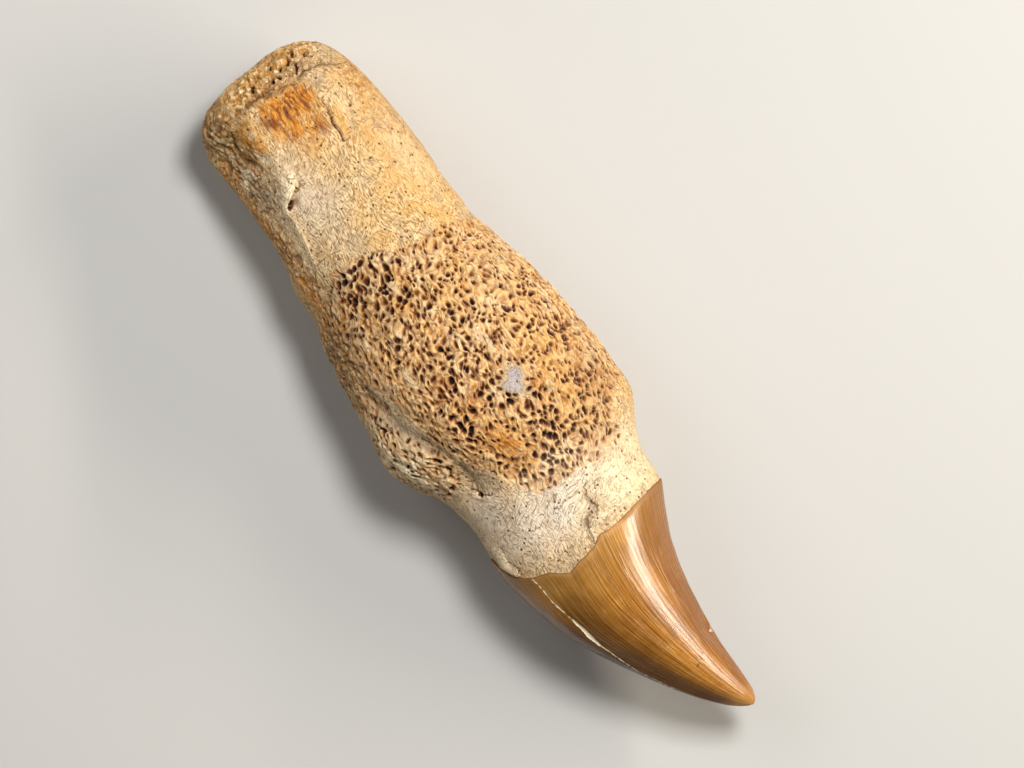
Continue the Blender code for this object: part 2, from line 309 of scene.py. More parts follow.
class Patch(NamedTuple):
    """A soft patch in plan on the upper side: centre, reach along and across, strength and turn."""

    centre: tuple
    reach: tuple
    strength: float
    turn: float = 0  # in degrees


def patches_at(plan, patches):
    """The strength of the strongest patch at each place."""
    total = np.zeros(len(plan))
    for patch in patches:
        turn = math.radians(patch.turn)
        off = plan - np.array(patch.centre)
        along = (off[:, 0] * math.cos(turn) + off[:, 1] * math.sin(turn)) / patch.reach[0]
        across = (off[:, 1] * math.cos(turn) - off[:, 0] * math.sin(turn)) / patch.reach[1]
        total = np.maximum(total, patch.strength * np.exp(-(along**2 + across**2)))
    return total


def off_path(plan, path):
    """Each place's distance from a path in plan."""
    best = np.full(len(plan), np.inf)
    for a, b in zip(path, path[1:]):
        a, run = np.array(a), np.subtract(b, a)
        share = np.clip((plan - a) @ run / (run @ run), 0, 1)
        best = np.minimum(best, np.linalg.norm(plan - a - share[:, None] * run, axis=1))
    return best


def astride(plan, paths):
    """Each place's distance from the nearest path, below 0 on the path's left.

    A line that is kept so can be drawn finer than the mesh, because the distance passes 0 on it.
    """
    best = np.full(len(plan), FAR)
    for path in paths:
        for a, b in zip(path, path[1:]):
            a, run = np.array(a), np.subtract(b, a)
            share = (plan - a) @ run / (run @ run)
            off = plan - a - np.clip(share, 0, 1)[:, None] * run
            gap = np.linalg.norm(off, axis=1)
            left = (run[0] * off[:, 1] > run[1] * off[:, 0]) & (share > 0) & (share < 1)
            best = np.where(gap < abs(best), np.where(left, -gap, gap), best)
    return best


def inside_by(plan, rim):
    """Each place's distance inside a closed rim in plan, below 0 outside it."""
    path = (*rim, rim[0])
    odd = np.zeros(len(plan), bool)
    for (ax, ay), (bx, by) in zip(path, path[1:]):
        crosses = (ay > plan[:, 1]) != (by > plan[:, 1])
        with np.errstate(divide="ignore", invalid="ignore"):
            at = ax + (plan[:, 1] - ay) * (bx - ax) / (by - ay)
        odd ^= crosses & (plan[:, 0] < at)
    return np.where(odd, 1.0, -1.0) * off_path(plan, path)


# The rim of the worn spongy bone in plan on the upper side. It runs on over both flanks.
SPONGE_RIM = (
    (-24.5, -34), (-25, -14.5), (-28.2, -11.2), (-31.1, -6.5), (-31.2, -3), (-28.6, 2.2), (-26.3, 7.5),
    (-26.5, 11.8), (-24.4, 16.3), (-21, 22), (-18, 34), (8, 34), (10, 19.6), (11.9, 16.5), (14.4, 14.1),
    (18.9, 13), (19.7, 8.9), (19, 7.1), (18.2, 4), (18.4, 1.4), (18, -1.1), (17, -3.9), (13.1, -6.1),
    (8.3, -8.3), (7.6, -11.1), (9, -14), (10, -34),
)

# How open the sponge is: big pores stand close together in these patches
OPEN = (
    Patch((6, 14), (7, 5), 0.6), Patch((-8, 15), (10, 4), 0.45), Patch((4.4, -13), (3.4, 1.6), 0.9, 10),
    Patch((-5.4, -16.4), (4, 1.4), 0.8, 10), Patch((-27, -4.5), (5, 5.5), 1.3),
    Patch((-21, -1), (6, 6.5), 0.8), Patch((-16, -6), (5, 4), 0.65), Patch((-14, 5), (9, 5), 0.55),
    Patch((-2, 12), (8, 4), 0.55), Patch((3.5, 3), (4.5, 5), 0.95), Patch((1.5, -4.5), (4.5, 4), 0.85),
    Patch((11, 4), (6, 8), 0.75), Patch((15.5, 10.5), (3, 3.5), 0.6), Patch((-9, 0), (6, 5), 0.7),
    Patch((0.5, 0.5), (4, 3.5), 0.9), Patch((8.5, 16), (4.5, 2.6), 0.9, -20),
    Patch((-1, 15.5), (5, 3), 0.7), Patch((-4, -16.5), (8, 2), 0.5, 10),
)
# Bone without pores: the bluish infill and its tail, pale ovals, the strip beside the groove
SEALED = (
    Patch((0, 5.6), (1.7, 1.4), 1.8, -20), Patch((1.2, 4.4), (1.9, 1.1), 1.8, 40),
    Patch((-2, 5.9), (1.2, 0.7), 0.9, 30), Patch((-6, 5.8), (3, 0.45), 0.9, -4),
    Patch((-9.7, 5.9), (1.4, 0.5), 0.8), Patch((-10.2, -8), (2.4, 0.6), 0.95, -4),
    Patch((-14.5, 0.5), (3.4, 0.5), 0.7, -10), Patch((-20.5, 4.5), (3, 0.6), 0.75, -20),
    Patch((-16, 11), (3, 0.5), 0.7, -12), Patch((4.8, 9), (2.2, 1.2), 0.7, -20),
    Patch((-16, 15.4), (6.5, 2.6), 0.5, -10), Patch((-4.4, -13.2), (5, 1.2), 1.3, 18),
    Patch((5, -10.6), (4.5, 0.8), 0.9, 10), Patch((-10, -13), (6, 0.8), 0.7, 12),
    Patch((9, -2), (2.2, 1.6), 0.9),
)
# Crumbly places: broken edges and knobbly crusts
CRUST = (
    Patch((-55.2, -4), (3.2, 2), 1.2, -15), Patch((-59, -7), (3, 3), 0.8),
    Patch((-45.4, -4), (2.6, 1), 0.5, -30), Patch((-62, 5), (2.6, 11), 0.9),
    Patch((-52, -7.8), (9, 2.6), 1.1), Patch((-50, -4.4), (3, 1), 0.6, -20),
    Patch((24.6, 1), (1.6, 3), 0.5), Patch((-52.5, 15.5), (5, 2), 0.5),
    Patch((-50.6, 12.8), (3.6, 1.8), 0.34, -10), Patch((26.9, 3), (0.9, 3.5), 0.4),
    Patch((20.6, -2.5), (1.1, 0.8), 0.6, 20), Patch((-37, -10.4), (10, 1.8), 0.8, -4),
    Patch((3.6, -13.6), (4.5, 2.2), 0.5, 12), Patch((-19, -14), (6, 1.6), 0.6, -12),
)
# Stains and tones, with painted light and shade among them, laid over one another in this order
TONES = {
    # Chalky, neutral bone; the patch at (15, -11.5) is partly painted light where the neck lies in shade
    "chalk": (
        Patch((-62, 6), (2, 8), 0.35), Patch((20, -2), (6, 13), 1), Patch((15, -11.5), (5, 4), 0.8),
        Patch((-44, -2), (7, 4.5), 0.6), Patch((-14, -14), (8, 3), 0.3, 10),
    ),
    # Yellow ochre; its strong first patch, on the knob at the butt, is partly painted light on a side turned
    # from the lamps
    "ochre": (
        Patch((-55.2, -4), (3.2, 2.2), 2.2, -20), Patch((8.2, -2.4), (4.5, 3.2), 0.8, 10),
        Patch((1, -17), (6, 2), 0.6, 10), Patch((-55, 4), (4.6, 4.6), 0.9), Patch((-62.5, 5), (2, 9), 0.6),
        Patch((24, 3.2), (2.4, 0.5), 1, 10), Patch((-48.6, 9.8), (3.6, 0.7), 1.3, -14),
        Patch((-44.5, 11.6), (4.6, 1), 1.1, -16), Patch((-50.4, 4.6), (3, 3.6), 0.6),
        Patch((-38, 8), (6, 1.6), 0.7, -20), Patch((2, 12), (12, 5), 0.6), Patch((-38, 13.5), (14, 5.5), 1),
        Patch((-43, 14), (11, 4.5), 0.9), Patch((-47, 3), (5, 5), 0.6), Patch((-33, 10), (6, 6), 0.6),
        Patch((-55, 14), (5, 3), 0.5), Patch((-12, 14), (12, 5), 0.3), Patch((9, 12), (6, 6), 0.6),
        Patch((-18, 8), (6, 4), 0.5),
    ),
    # Grey, leached bone, and the bluish infill; the first two patches are painted shadow beside the neck's
    # broken ledge
    "ash": (
        Patch((24, 1.3), (0.7, 1.4), 1.1, 20), Patch((25.4, -1), (1.2, 0.7), 1),
        Patch((0, 5.6), (1.7, 1.4), 2.4, -20), Patch((1.2, 4.4), (1.9, 1.1), 2.4, 40),
        Patch((-57, 10.8), (2.2, 2.6), 0.7), Patch((-46, -7.5), (9, 3), 0.6),
        Patch((-36, -8.8), (6, 3), 0.6, -6), Patch((-4, -13.4), (7, 1.6), 0.9, 16),
        Patch((16, -11), (7, 4.5), 0.1), Patch((-38, -3), (10, 5), 0.35), Patch((-1.5, -8), (2, 1), 0.3),
    ),
    # Painted shade, in umber brown: in the hollows, along the furrows and on the shaded flank
    "umber": (
        Patch((-25, -5.5), (6, 5.5), 0.15), Patch((-61.5, -6.5), (3.6, 4), 0.75),
        Patch((-52, -8.6), (8, 2), 0.35), Patch((-60.4, 11), (0.9, 2.2), 0.6),
        Patch((-60.2, 0), (0.8, 4), 0.5), Patch((-20.5, -13.4), (8, 2.4), 0.85, -14),
        Patch((-29, -9), (4, 2.6), 0.5, -30), Patch((-9, -15.4), (5, 0.7), 0.3, 14),
        Patch((2, -11.6), (5, 0.9), 0.5, 12), Patch((8, 15), (9, 3), 0.3, -20),
    ),
    # Clean cream bone; the first three patches, on the lump beneath the barrel, are partly painted light on
    # its shaded side
    "cream": (
        Patch((-5.5, -17.5), (5, 1.6), 0.6, 8), Patch((0.5, -16.8), (9, 2.6), 1.1, 12),
        Patch((1.2, -17), (4, 1.8), 1.8, 12), Patch((-15.5, 13.2), (7, 4), 0.15),
        Patch((20.5, 13.5), (3.5, 4), 0.7), Patch((23.5, 7.5), (4.5, 7.5), 0.9),
        Patch((-46.6, -2.6), (1.2, 0.8), 2.4, -30), Patch((-45.7, -3.8), (0.8, 1.2), 2.4, -30),
        Patch((-44.6, -5.5), (1.4, 0.6), 2.2, -40), Patch((-52, -7.5), (0.9, 0.6), 2),
        Patch((-50.9, -8.9), (0.9, 0.5), 1.8, -20), Patch((-52.1, -3.9), (1.1, 0.6), 1.8, 20),
        Patch((-56.3, -2.7), (0.8, 0.6), 1, 20), Patch((-54, -4.2), (0.8, 0.6), 1, -20),
        Patch((-55.9, -5.3), (0.8, 0.5), 1), Patch((-51, 12.6), (3.4, 2), 0.5),
        Patch((-41, 11), (9, 6), 0.2), Patch((-39.5, 14.6), (8, 2.6), 0.6),
        Patch((-8.5, 5.6), (5, 0.9), 0.35, -4), Patch((-10.2, -8), (2.4, 0.7), 0.45, -4),
        Patch((22.8, -14.6), (3.4, 0.7), 1), Patch((26.6, 3), (1, 7), 0.7),
    ),
    # Iron
    "rust": (
        Patch((-24, 2), (1.6, 1.1), 0.5), Patch((-20, -1.6), (2, 1), 0.5, 20),
        Patch((-12.5, 0.6), (1.6, 1.2), 0.45), Patch((-15.4, 7.2), (1.4, 1), 0.45),
        Patch((-6.6, -4.2), (2.2, 1.2), 0.4), Patch((3.2, 7.6), (1.4, 1.2), 0.4),
        Patch((-1, -3), (3, 2), 0.35), Patch((-3, -16.8), (2.4, 1.2), 0.6, 12),
        Patch((3.4, -15.4), (2.6, 1), 0.6, 16), Patch((-56.3, 6.1), (2.2, 2.6), 2.2),
        Patch((-56.4, 2.4), (2.4, 2.2), 2.2), Patch((-52.8, 3), (2.2, 1.8), 1.6),
        Patch((-51, 5.8), (1.8, 2.2), 1), Patch((-55.2, -4), (2.8, 2), 0.5, -20),
        Patch((-51.5, 16.4), (1.6, 1.6), 0.5), Patch((-54.5, 17), (2, 1.4), 0.5),
        Patch((-63, 8), (1.6, 6), 0.3), Patch((-62.5, 0), (1.4, 4), 0.25),
        Patch((7.8, -2.5), (3.2, 1.9), 0.95, 12), Patch((-45, 15), (8, 4), 0.22),
        Patch((-32.4, -11.4), (6, 0.9), 0.7, -6), Patch((-42, -10.4), (9, 0.9), 0.55),
        Patch((-53.7, -9.6), (4, 0.9), 0.5),
    ),
}


class Cut(NamedTuple):
    """A cut or a hole along a path in plan: half its width, and its depth."""

    path: tuple
    half_width: float
    depth: float


# Open holes, whose insides are painted dark as shade
HOLES = (
    Cut(((-43.9, -4.4), (-43.2, -5.5)), 0.23, 1.3),
    Cut(((-45.3, -2.5), (-45.2, -2.6)), 0.1, 0.5),
    Cut(((-50.3, 12.6), (-50.1, 12.8)), 0.19, 0.7),
    Cut(((-62.7, 10.5), (-62.4, 10.2)), 0.2, 0.7),
    Cut(((-61.4, 12.1), (-61.1, 11.9)), 0.16, 0.6),
    Cut(((-62.3, 9.2), (-62, 8.8)), 0.19, 0.7),
    Cut(((-60.9, 9.9), (-60.2, 9.6), (-59.6, 9.2)), 0.18, 0.7),
    Cut(((-61.3, 5.4), (-61, 5.2)), 0.18, 0.7),
    Cut(((-61.1, 6.3), (-60.9, 6.5)), 0.19, 0.8),
    Cut(((-63.2, 6.3), (-63, 6.1)), 0.17, 0.7),
    Cut(((-62, 7.5), (-61.8, 7.3)), 0.19, 0.7),
    Cut(((-62.5, 2.3), (-62.1, 1.7)), 0.2, 0.7),
    Cut(((11.1, -10.8), (11.7, -10.5)), 0.17, 0.7),
    Cut(((20.5, -2.9), (20.7, -2.7)), 0.09, 0.4),
    Cut(((20.8, -2), (20.7, -1.9)), 0.07, 0.4),
    Cut(((20.6, -8.4), (20.7, -8.3)), 0.07, 0.4),
    Cut(((2.6, 2.4), (3.2, 2.7)), 0.36, 1.3),
    Cut(((2.5, -13), (3.5, -12.5)), 0.3, 0.8),
    Cut(((4.8, -12.3), (5.5, -11.9)), 0.25, 0.7),
    Cut(((-7, -16.6), (-6.3, -16.3)), 0.22, 0.6),
    Cut(((-5.6, -16), (-5.2, -15.8)), 0.16, 0.5),
)
# Narrow furrows and broken edges, which the painted shade darkens too
FURROWS = (
    Cut(((-56.2, 8.9), (-54.6, 8.7), (-53.2, 8.3)), 0.2, 0.2),
    Cut(((-53.8, 9.4), (-51, 8.9)), 0.2, 0.2),
    Cut(((-50.6, 8.8), (-49.6, 8.4), (-48, 8.5), (-46.4, 8)), 0.26, 0.5),
    Cut(((-61.2, -4.1), (-61, -2.7), (-61, 1.5), (-59.8, 3.7)), 0.55, 0.7),
    Cut(((-59.6, 4.2), (-58.8, 9.2), (-59.4, 10.3), (-58.8, 12.9), (-57, 15.3)), 0.5, 0.6),
    Cut(((-59.6, -3.5), (-57, -6), (-54, -6.4), (-51.5, -5.4)), 0.4, 0.45),
    Cut(((-45.9, -1.7), (-44.7, -3), (-43.4, -4.4)), 0.3, 0.45),
    Cut(((-12, -15), (-4, -13.9), (0, -12), (3.1, -11.3), (6.8, -10.6), (9.4, -10.6)), 0.75, 0.55),
    Cut(((21.8, 2.6), (22.4, 1.9), (24.3, 2.3), (25, 1.6), (24.9, 0.3), (25.8, -0.6)), 0.24, 0.35),
    Cut(((22.8, 3.6), (23.4, 5.4), (25.4, 8.2)), 0.26, 0.25),
    Cut(((26.9, 0), (27.4, 2.8), (27.5, 6)), 0.36, 0.35),
    Cut(((6.5, -5), (8.4, -4.6), (10.6, -3.6), (10.9, -2.4)), 0.3, 0.45),
)
# Broad shallow dents
DENTS = (
    Cut(((-51.8, 11.8), (-49.4, 13.2)), 1, 0.4),
    Cut(((-57.6, 12), (-56.4, 9.6)), 1, 0.3),
    Cut(((-49, 10.4), (-45, 9.6)), 1.2, 0.25),
    Cut(((-54.8, 15), (-52.6, 15.8)), 0.7, 0.35),
    Cut(((-50.4, 15.2), (-48.6, 15.4)), 0.6, 0.3),
    Cut(((-52, -3.6), (-49, -4.4), (-47, -5.4)), 1.1, 0.4),
    Cut(((-58, -1.4), (-56, -1)), 0.9, 0.3),
    Cut(((17, -3), (21, -6)), 2, 0.2),
    Cut(((22, 11.5), (25, 10.6)), 1.6, 0.2),
)
# Low ridges
RIDGES = (
    Cut(((-47.1, -2.4), (-45.9, -2.2), (-45.6, -3.8), (-44, -5.6), (-42.6, -6.2)), 0.7, 0.5),
    Cut(((-55.4, 4), (-53.9, 4), (-52.4, 3.9)), 0.2, 0.15),
    Cut(((-54.4, 5.6), (-52, 4.6)), 0.2, 0.15),
    Cut(((-41.5, -6.2), (-38, -7), (-33.3, -8.2)), 0.5, 0.3),
    Cut(((-33, -3.8), (-33.3, -4.9), (-33.4, -7.4), (-32.5, -8.7), (-30.7, -9.9)), 0.3, 0.22),
    Cut(((24.6, 2.9), (25.6, 1.9), (26, 0.4)), 0.6, 0.3),
    Cut(((20, -14.4), (22.8, -14.8), (25.4, -14.1)), 0.5, 0.3),
    Cut(((10.2, -11.6), (11.2, -11.5), (12.6, -10.2)), 0.4, 0.4),
    Cut(((-56.4, -4.4), (-54.2, -3.4)), 1.4, 0.6),
)
# Thin dark cracks and scratches
SCRATCHES = (
    ((-50.6, 8.8), (-49.6, 8.4), (-48, 8.5), (-46.4, 8)),
    ((-58.9, 9.2), (-59.5, 10.3), (-58.9, 11.6)),
    ((-58.6, -5.2), (-56.4, -6.2), (-53.2, -6)),
    ((9.8, -11.3), (10.4, -10.7), (11.4, -10.6), (12.6, -9.3)),
    ((-1.6, -12.6), (-0.5, -12), (0.6, -11.9)),
)
# Fine brown outlines of flakes
OUTLINES = (
    ((20.6, 2.8), (21.6, 2.9), (22.2, 2.2), (22.9, 2.5), (23.6, 2.2), (24.4, 2.8), (25.1, 2.1), (24.8, 1.2),
     (24.9, 0.2), (25.6, -0.4), (26.6, -0.7)),
    ((20, -13.5), (22.6, -14), (24.6, -13.4), (25.6, -13.6)),
    ((-33, -3.2), (-33.6, -5), (-33.7, -7.4), (-32.7, -9), (-30.9, -10.2)),
    ((-47.4, -2.9), (-46.4, -1.5), (-45.2, -1.9), (-44.6, -3.6), (-43.4, -5.4)),
    ((-56.4, 8.9), (-54.6, 8.7), (-53, 8.3)),
    ((-53.9, 9.4), (-52.4, 9.3), (-51, 8.9)),
    ((-55, 7.4), (-52, 7), (-50.2, 7.2)),
    ((-61.1, -2.7), (-61.1, 1.5), (-59.9, 3.7), (-59.2, 6.6)),
    ((-58.9, 12), (-58.6, 13.2), (-57.6, 14.6)),
)
# Ledges: a broken layer that still stands above the rest inside its rim, by its height
LEDGES = (
    (0.45, ((21.9, 3.2), (22.3, 2.2), (23.6, 2.3), (24.4, 2.8), (25.2, 2.1), (24.8, 1.2), (24.9, 0.2),
            (25.7, -0.5), (27.3, -1), (29.6, -1.4), (31, 6), (30, 12), (27, 9.6), (25.4, 8.4), (23.4, 5.6))),
    (0.22, ((-47.4, -1.9), (-46, -1.6), (-45.3, -2.6), (-44.6, -4.2), (-43.2, -5.6), (-44.2, -6.2),
            (-45.8, -4.8), (-47.3, -3.3))),
    (0.25, ((19.6, -13.6), (22.8, -14.2), (25.6, -13.4), (25.4, -14.8), (22.6, -15.6), (19.4, -15))),
)


def ledges_at(plan):
    """How far the ledges raise each place."""
    height = np.zeros(len(plan))
    for rise, rim in LEDGES:
        height = np.maximum(height, rise * smooth(-0.08, 0.14, inside_by(plan, rim)))
    return height


def cuts_at(plan, cuts):
    """How deep the cuts are at each place."""
    depth = np.zeros(len(plan))
    for cut in cuts:
        off = off_path(plan, cut.path) / cut.half_width
        depth = np.maximum(depth, cut.depth * np.exp(-(off**2)))
    return depth


def hole_edge(plan, cuts):
    """Each place's distance inside the nearest hole's edge, below 0 outside it."""
    edge = np.full(len(plan), -FAR)
    for cut in cuts:
        edge = np.maximum(edge, cut.half_width - off_path(plan, cut.path))
    return edge


# ---------------------------------------------------------------- node trees

# The size of each pattern's features, in mm. A pattern's scale is worked out from it.
PORE_PITCH = 1.15
FINE_PITCH = 0.8  # the small pores between the big ones
PORE_DRIFT = 3.571  # the bends in the rows of pores
PORE_RAG = 2 / 3  # the torn edges of pores and holes
OPENNESS = 5.0  # patches where the sponge is more or less open
CREASE = 1.111  # the creases over the struts
SWELL = 2.5  # the low swells between the pores
FIBRE = 0.625  # the fibres in the struts
CRUMB = 0.909  # the lumps of the crumbly crust
GRAIN = 1.25  # the compact bone's grain, and its ragged borders
STROKE = 0.25  # the compact bone's fine strokes
STROKE_DRIFT = 4.545  # the bends in them
MOTTLE = 3.846  # the compact bone's tones
SLIT_PITCH = 1.3  # how far apart the short slits are
PIN_PITCH = 1.4  # and the pinholes
STREAK = 0.4545  # the streaks in the rust
HATCH = 0.5882  # the fine lines across the strokes
GRIT = 0.3125  # real grit is finer: drawn as coarse as it shows
PUSH = 2.4  # a drift pushes a pattern by up to half of this, either way

# Makes a Map Range node run in a smooth step from 0 at its first number to 1 at its second
SMOOTH = {"interpolation_type": "SMOOTHSTEP"}


def put(tree, kind, *values, inputs=None, **settings):
    """Adds a node with its settings. The values feed its sockets in order, and inputs its sockets by name.

    Each is a plain value, or the socket or the node that it comes from.
    """
    node = tree.nodes.new(kind)
    for name, setting in settings.items():
        setattr(node, name, setting)
    for key, value in [*enumerate(values), *(inputs or {}).items()]:
        if isinstance(value, bpy.types.Node):
            value = next(socket for socket in value.outputs if socket.enabled)
        if isinstance(value, bpy.types.NodeSocket):
            tree.links.new(value, node.inputs[key])
        else:
            node.inputs[key].default_value = value
    return node


def drifted(tree, spot, size):
    """The spot pushed about by noise of that size, so that what is drawn there bends."""
    noise = put(tree, "ShaderNodeTexNoise", inputs={"Vector": spot, "Scale": 1 / size, "Detail": 1.0})
    centred = put(tree, "ShaderNodeVectorMath", noise.outputs["Color"], (0.5,) * 3, operation="SUBTRACT")
    push = put(tree, "ShaderNodeVectorMath", centred, inputs={"Scale": PUSH}, operation="SCALE")
    return put(tree, "ShaderNodeVectorMath", spot, push, operation="ADD")


def threads(tree, vector, size, detail, width, core=0.0):
    """1 on thin winding lines, where noise of that size passes its middle value, and 0 beyond their width."""
    noise = put(tree, "ShaderNodeTexNoise", inputs={"Vector": vector, "Scale": 1 / size, "Detail": detail})
    off = put(tree, "ShaderNodeMath", noise, 0.5, operation="SUBTRACT")
    gap = put(tree, "ShaderNodeMath", off, operation="ABSOLUTE")
    return put(tree, "ShaderNodeMapRange", gap, width, core, **SMOOTH)


class Pores(NamedTuple):
    """The spongy bone's pattern at a place: how far inside a pore it is, in mm, and the rest from 0 to 1."""

    inside: object
    strut: object
    crease: object
    swell: object
    fibre: object


def spongy(tree, spot, opening):
    """The spongy bone's pattern at a spot in mm: big and small pores, struts between them, and creases.

    Both the modifier and the material are built from this, so that a pore's painted shade lies on its hole.
    """
    moved = drifted(tree, spot, PORE_DRIFT)
    turned = put(tree, "ShaderNodeVectorRotate", inputs={"Vector": moved, "Angle": math.radians(18)},
                 rotation_type="Z_AXIS")
    drawn = put(tree, "ShaderNodeVectorMath", turned, (0.84, 1.0, 1.0), operation="MULTIPLY")
    long = put(tree, "ShaderNodeVectorMath", drawn, (0.6, 1.0, 1.0), operation="MULTIPLY")
    uneven, rag, swell, fibre = (
        put(tree, "ShaderNodeTexNoise", inputs={"Vector": vector, "Scale": 1 / size, "Detail": detail})
        for vector, size, detail in (
            (moved, OPENNESS, 2.0), (drawn, PORE_RAG, 1.0), (moved, SWELL, 1.0), (long, FIBRE, 3.0),
        )
    )

    # Big pores. Where the sponge is less open, chance makes many of them smaller.
    big = put(tree, "ShaderNodeTexVoronoi", inputs={"Vector": drawn, "Scale": 1 / PORE_PITCH})
    big_off = put(tree, "ShaderNodeMath", big.outputs["Distance"], PORE_PITCH, operation="MULTIPLY")
    chance = put(tree, "ShaderNodeSeparateXYZ", big.outputs["Color"])
    least = put(tree, "ShaderNodeMath", chance.outputs[0], 0.18, 0.16, operation="MULTIPLY_ADD")
    raised = put(tree, "ShaderNodeMath", uneven, 1.6, opening, operation="MULTIPLY_ADD")
    openness = put(tree, "ShaderNodeMath", raised, 0.8, operation="SUBTRACT", use_clamp=True)
    closing = put(tree, "ShaderNodeMath", 1.0, openness, operation="SUBTRACT")
    lost = put(tree, "ShaderNodeMath", closing, chance.outputs[1], operation="MULTIPLY")
    wide = put(tree, "ShaderNodeMath", openness, 0.16, least, operation="MULTIPLY_ADD")
    left = put(tree, "ShaderNodeMath", lost, -0.3, wide, operation="MULTIPLY_ADD")
    big_in = put(tree, "ShaderNodeMath", left, big_off, operation="SUBTRACT")

    # Small ones, drawn out further along the fibres
    fine = put(tree, "ShaderNodeTexVoronoi", inputs={"Vector": long, "Scale": 1 / FINE_PITCH})
    fine_off = put(tree, "ShaderNodeMath", fine.outputs["Distance"], FINE_PITCH, operation="MULTIPLY")
    fine_in = put(tree, "ShaderNodeMath", 0.16, fine_off, operation="SUBTRACT")
    either = put(tree, "ShaderNodeMath", big_in, fine_in, operation="MAXIMUM")
    ragged_in = put(tree, "ShaderNodeMath", rag, 0.24, either, operation="MULTIPLY_ADD")
    inside_pore = put(tree, "ShaderNodeMath", ragged_in, 0.12, operation="SUBTRACT")

    between = put(tree, "ShaderNodeTexVoronoi", inputs={"Vector": drawn, "Scale": 1 / PORE_PITCH},
                  feature="DISTANCE_TO_EDGE")
    return Pores(
        inside=inside_pore.outputs[0],
        strut=put(tree, "ShaderNodeMapRange", between.outputs["Distance"], 0.3, 0.02, **SMOOTH),
        crease=threads(tree, long, CREASE, 1.0, 0.08),
        swell=put(tree, "ShaderNodeMapRange", swell, 0.35, 0.65, **SMOOTH),
        fibre=fibre.outputs[0],
    )


def crusty(tree, spot):
    """How high the crumbly crust is at a spot in mm: 0 in its pits, 1 on its tops."""
    lumps = put(tree, "ShaderNodeTexNoise", inputs={
        "Vector": spot, "Scale": 1 / CRUMB, "Detail": 4.0, "Roughness": 0.6, "Distortion": 0.7})
    return put(tree, "ShaderNodeMapRange", lumps, 0.34, 0.6).outputs[0]


def torn(tree, spot, distance):
    """The distance inside a hole, in mm, with the hole's edge torn by noise."""
    jag = put(tree, "ShaderNodeTexNoise", inputs={"Vector": spot, "Scale": 1 / PORE_RAG, "Detail": 2.0})
    shift = put(tree, "ShaderNodeMath", jag, 0.7, distance, operation="MULTIPLY_ADD")
    return put(tree, "ShaderNodeMath", shift, 0.35, operation="SUBTRACT").outputs[0]


def modifier_tree(name, sizes):
    """A modifier's tree and what it is given: its geometry, its named sizes and its material."""
    tree = bpy.data.node_groups.new(name, "GeometryNodeTree")
    tree.interface.new_socket("Geometry", in_out="OUTPUT", socket_type="NodeSocketGeometry")
    tree.interface.new_socket("Geometry", in_out="INPUT", socket_type="NodeSocketGeometry")
    for label, value in sizes.items():
        socket = tree.interface.new_socket(label, in_out="INPUT", socket_type="NodeSocketFloat")
        socket.default_value = value
    tree.interface.new_socket("Material", in_out="INPUT", socket_type="NodeSocketMaterial")
    return tree, put(tree, "NodeGroupInput").outputs


def press_and_finish(tree, given, depth):
    """Ends a modifier's tree: presses the surface in by the depth in mm, but not below the floor."""
    inward = put(tree, "ShaderNodeMath", depth, -MM, operation="MULTIPLY")
    normal = put(tree, "GeometryNodeInputNormal")
    offset = put(tree, "ShaderNodeVectorMath", normal, inputs={"Scale": inward}, operation="SCALE")
    moved = put(tree, "GeometryNodeSetPosition", given["Geometry"], inputs={"Offset": offset})
    position = put(tree, "GeometryNodeInputPosition")
    place = put(tree, "ShaderNodeVectorMath", position, (-1, -1, 0), operation="MAXIMUM")
    rested = put(tree, "GeometryNodeSetPosition", moved, inputs={"Position": place})
    real = put(tree, "GeometryNodeRealizeInstances", rested)
    done = put(tree, "GeometryNodeSetMaterial", real, inputs={"Material": given["Material"]})
    put(tree, "NodeGroupOutput", done)


# What each modifier's inputs start from, in mm, apart from the seeds
BONE_SIZES = {
    "Pore Depth": 0.85, "Lip Depth": 0.1, "Crease Depth": 0.14, "Hollow Depth": 0.3, "Strut Height": 0.1,
    "Hole Depth": 0.9, "Grain Height": 0.12, "Crust Depth": 0.55, "Seed": 11.0,
}
CROWN_SIZES = {"Ridge Height": 0.06, "Ridge Pitch": 0.9, "Seed": 5.0}


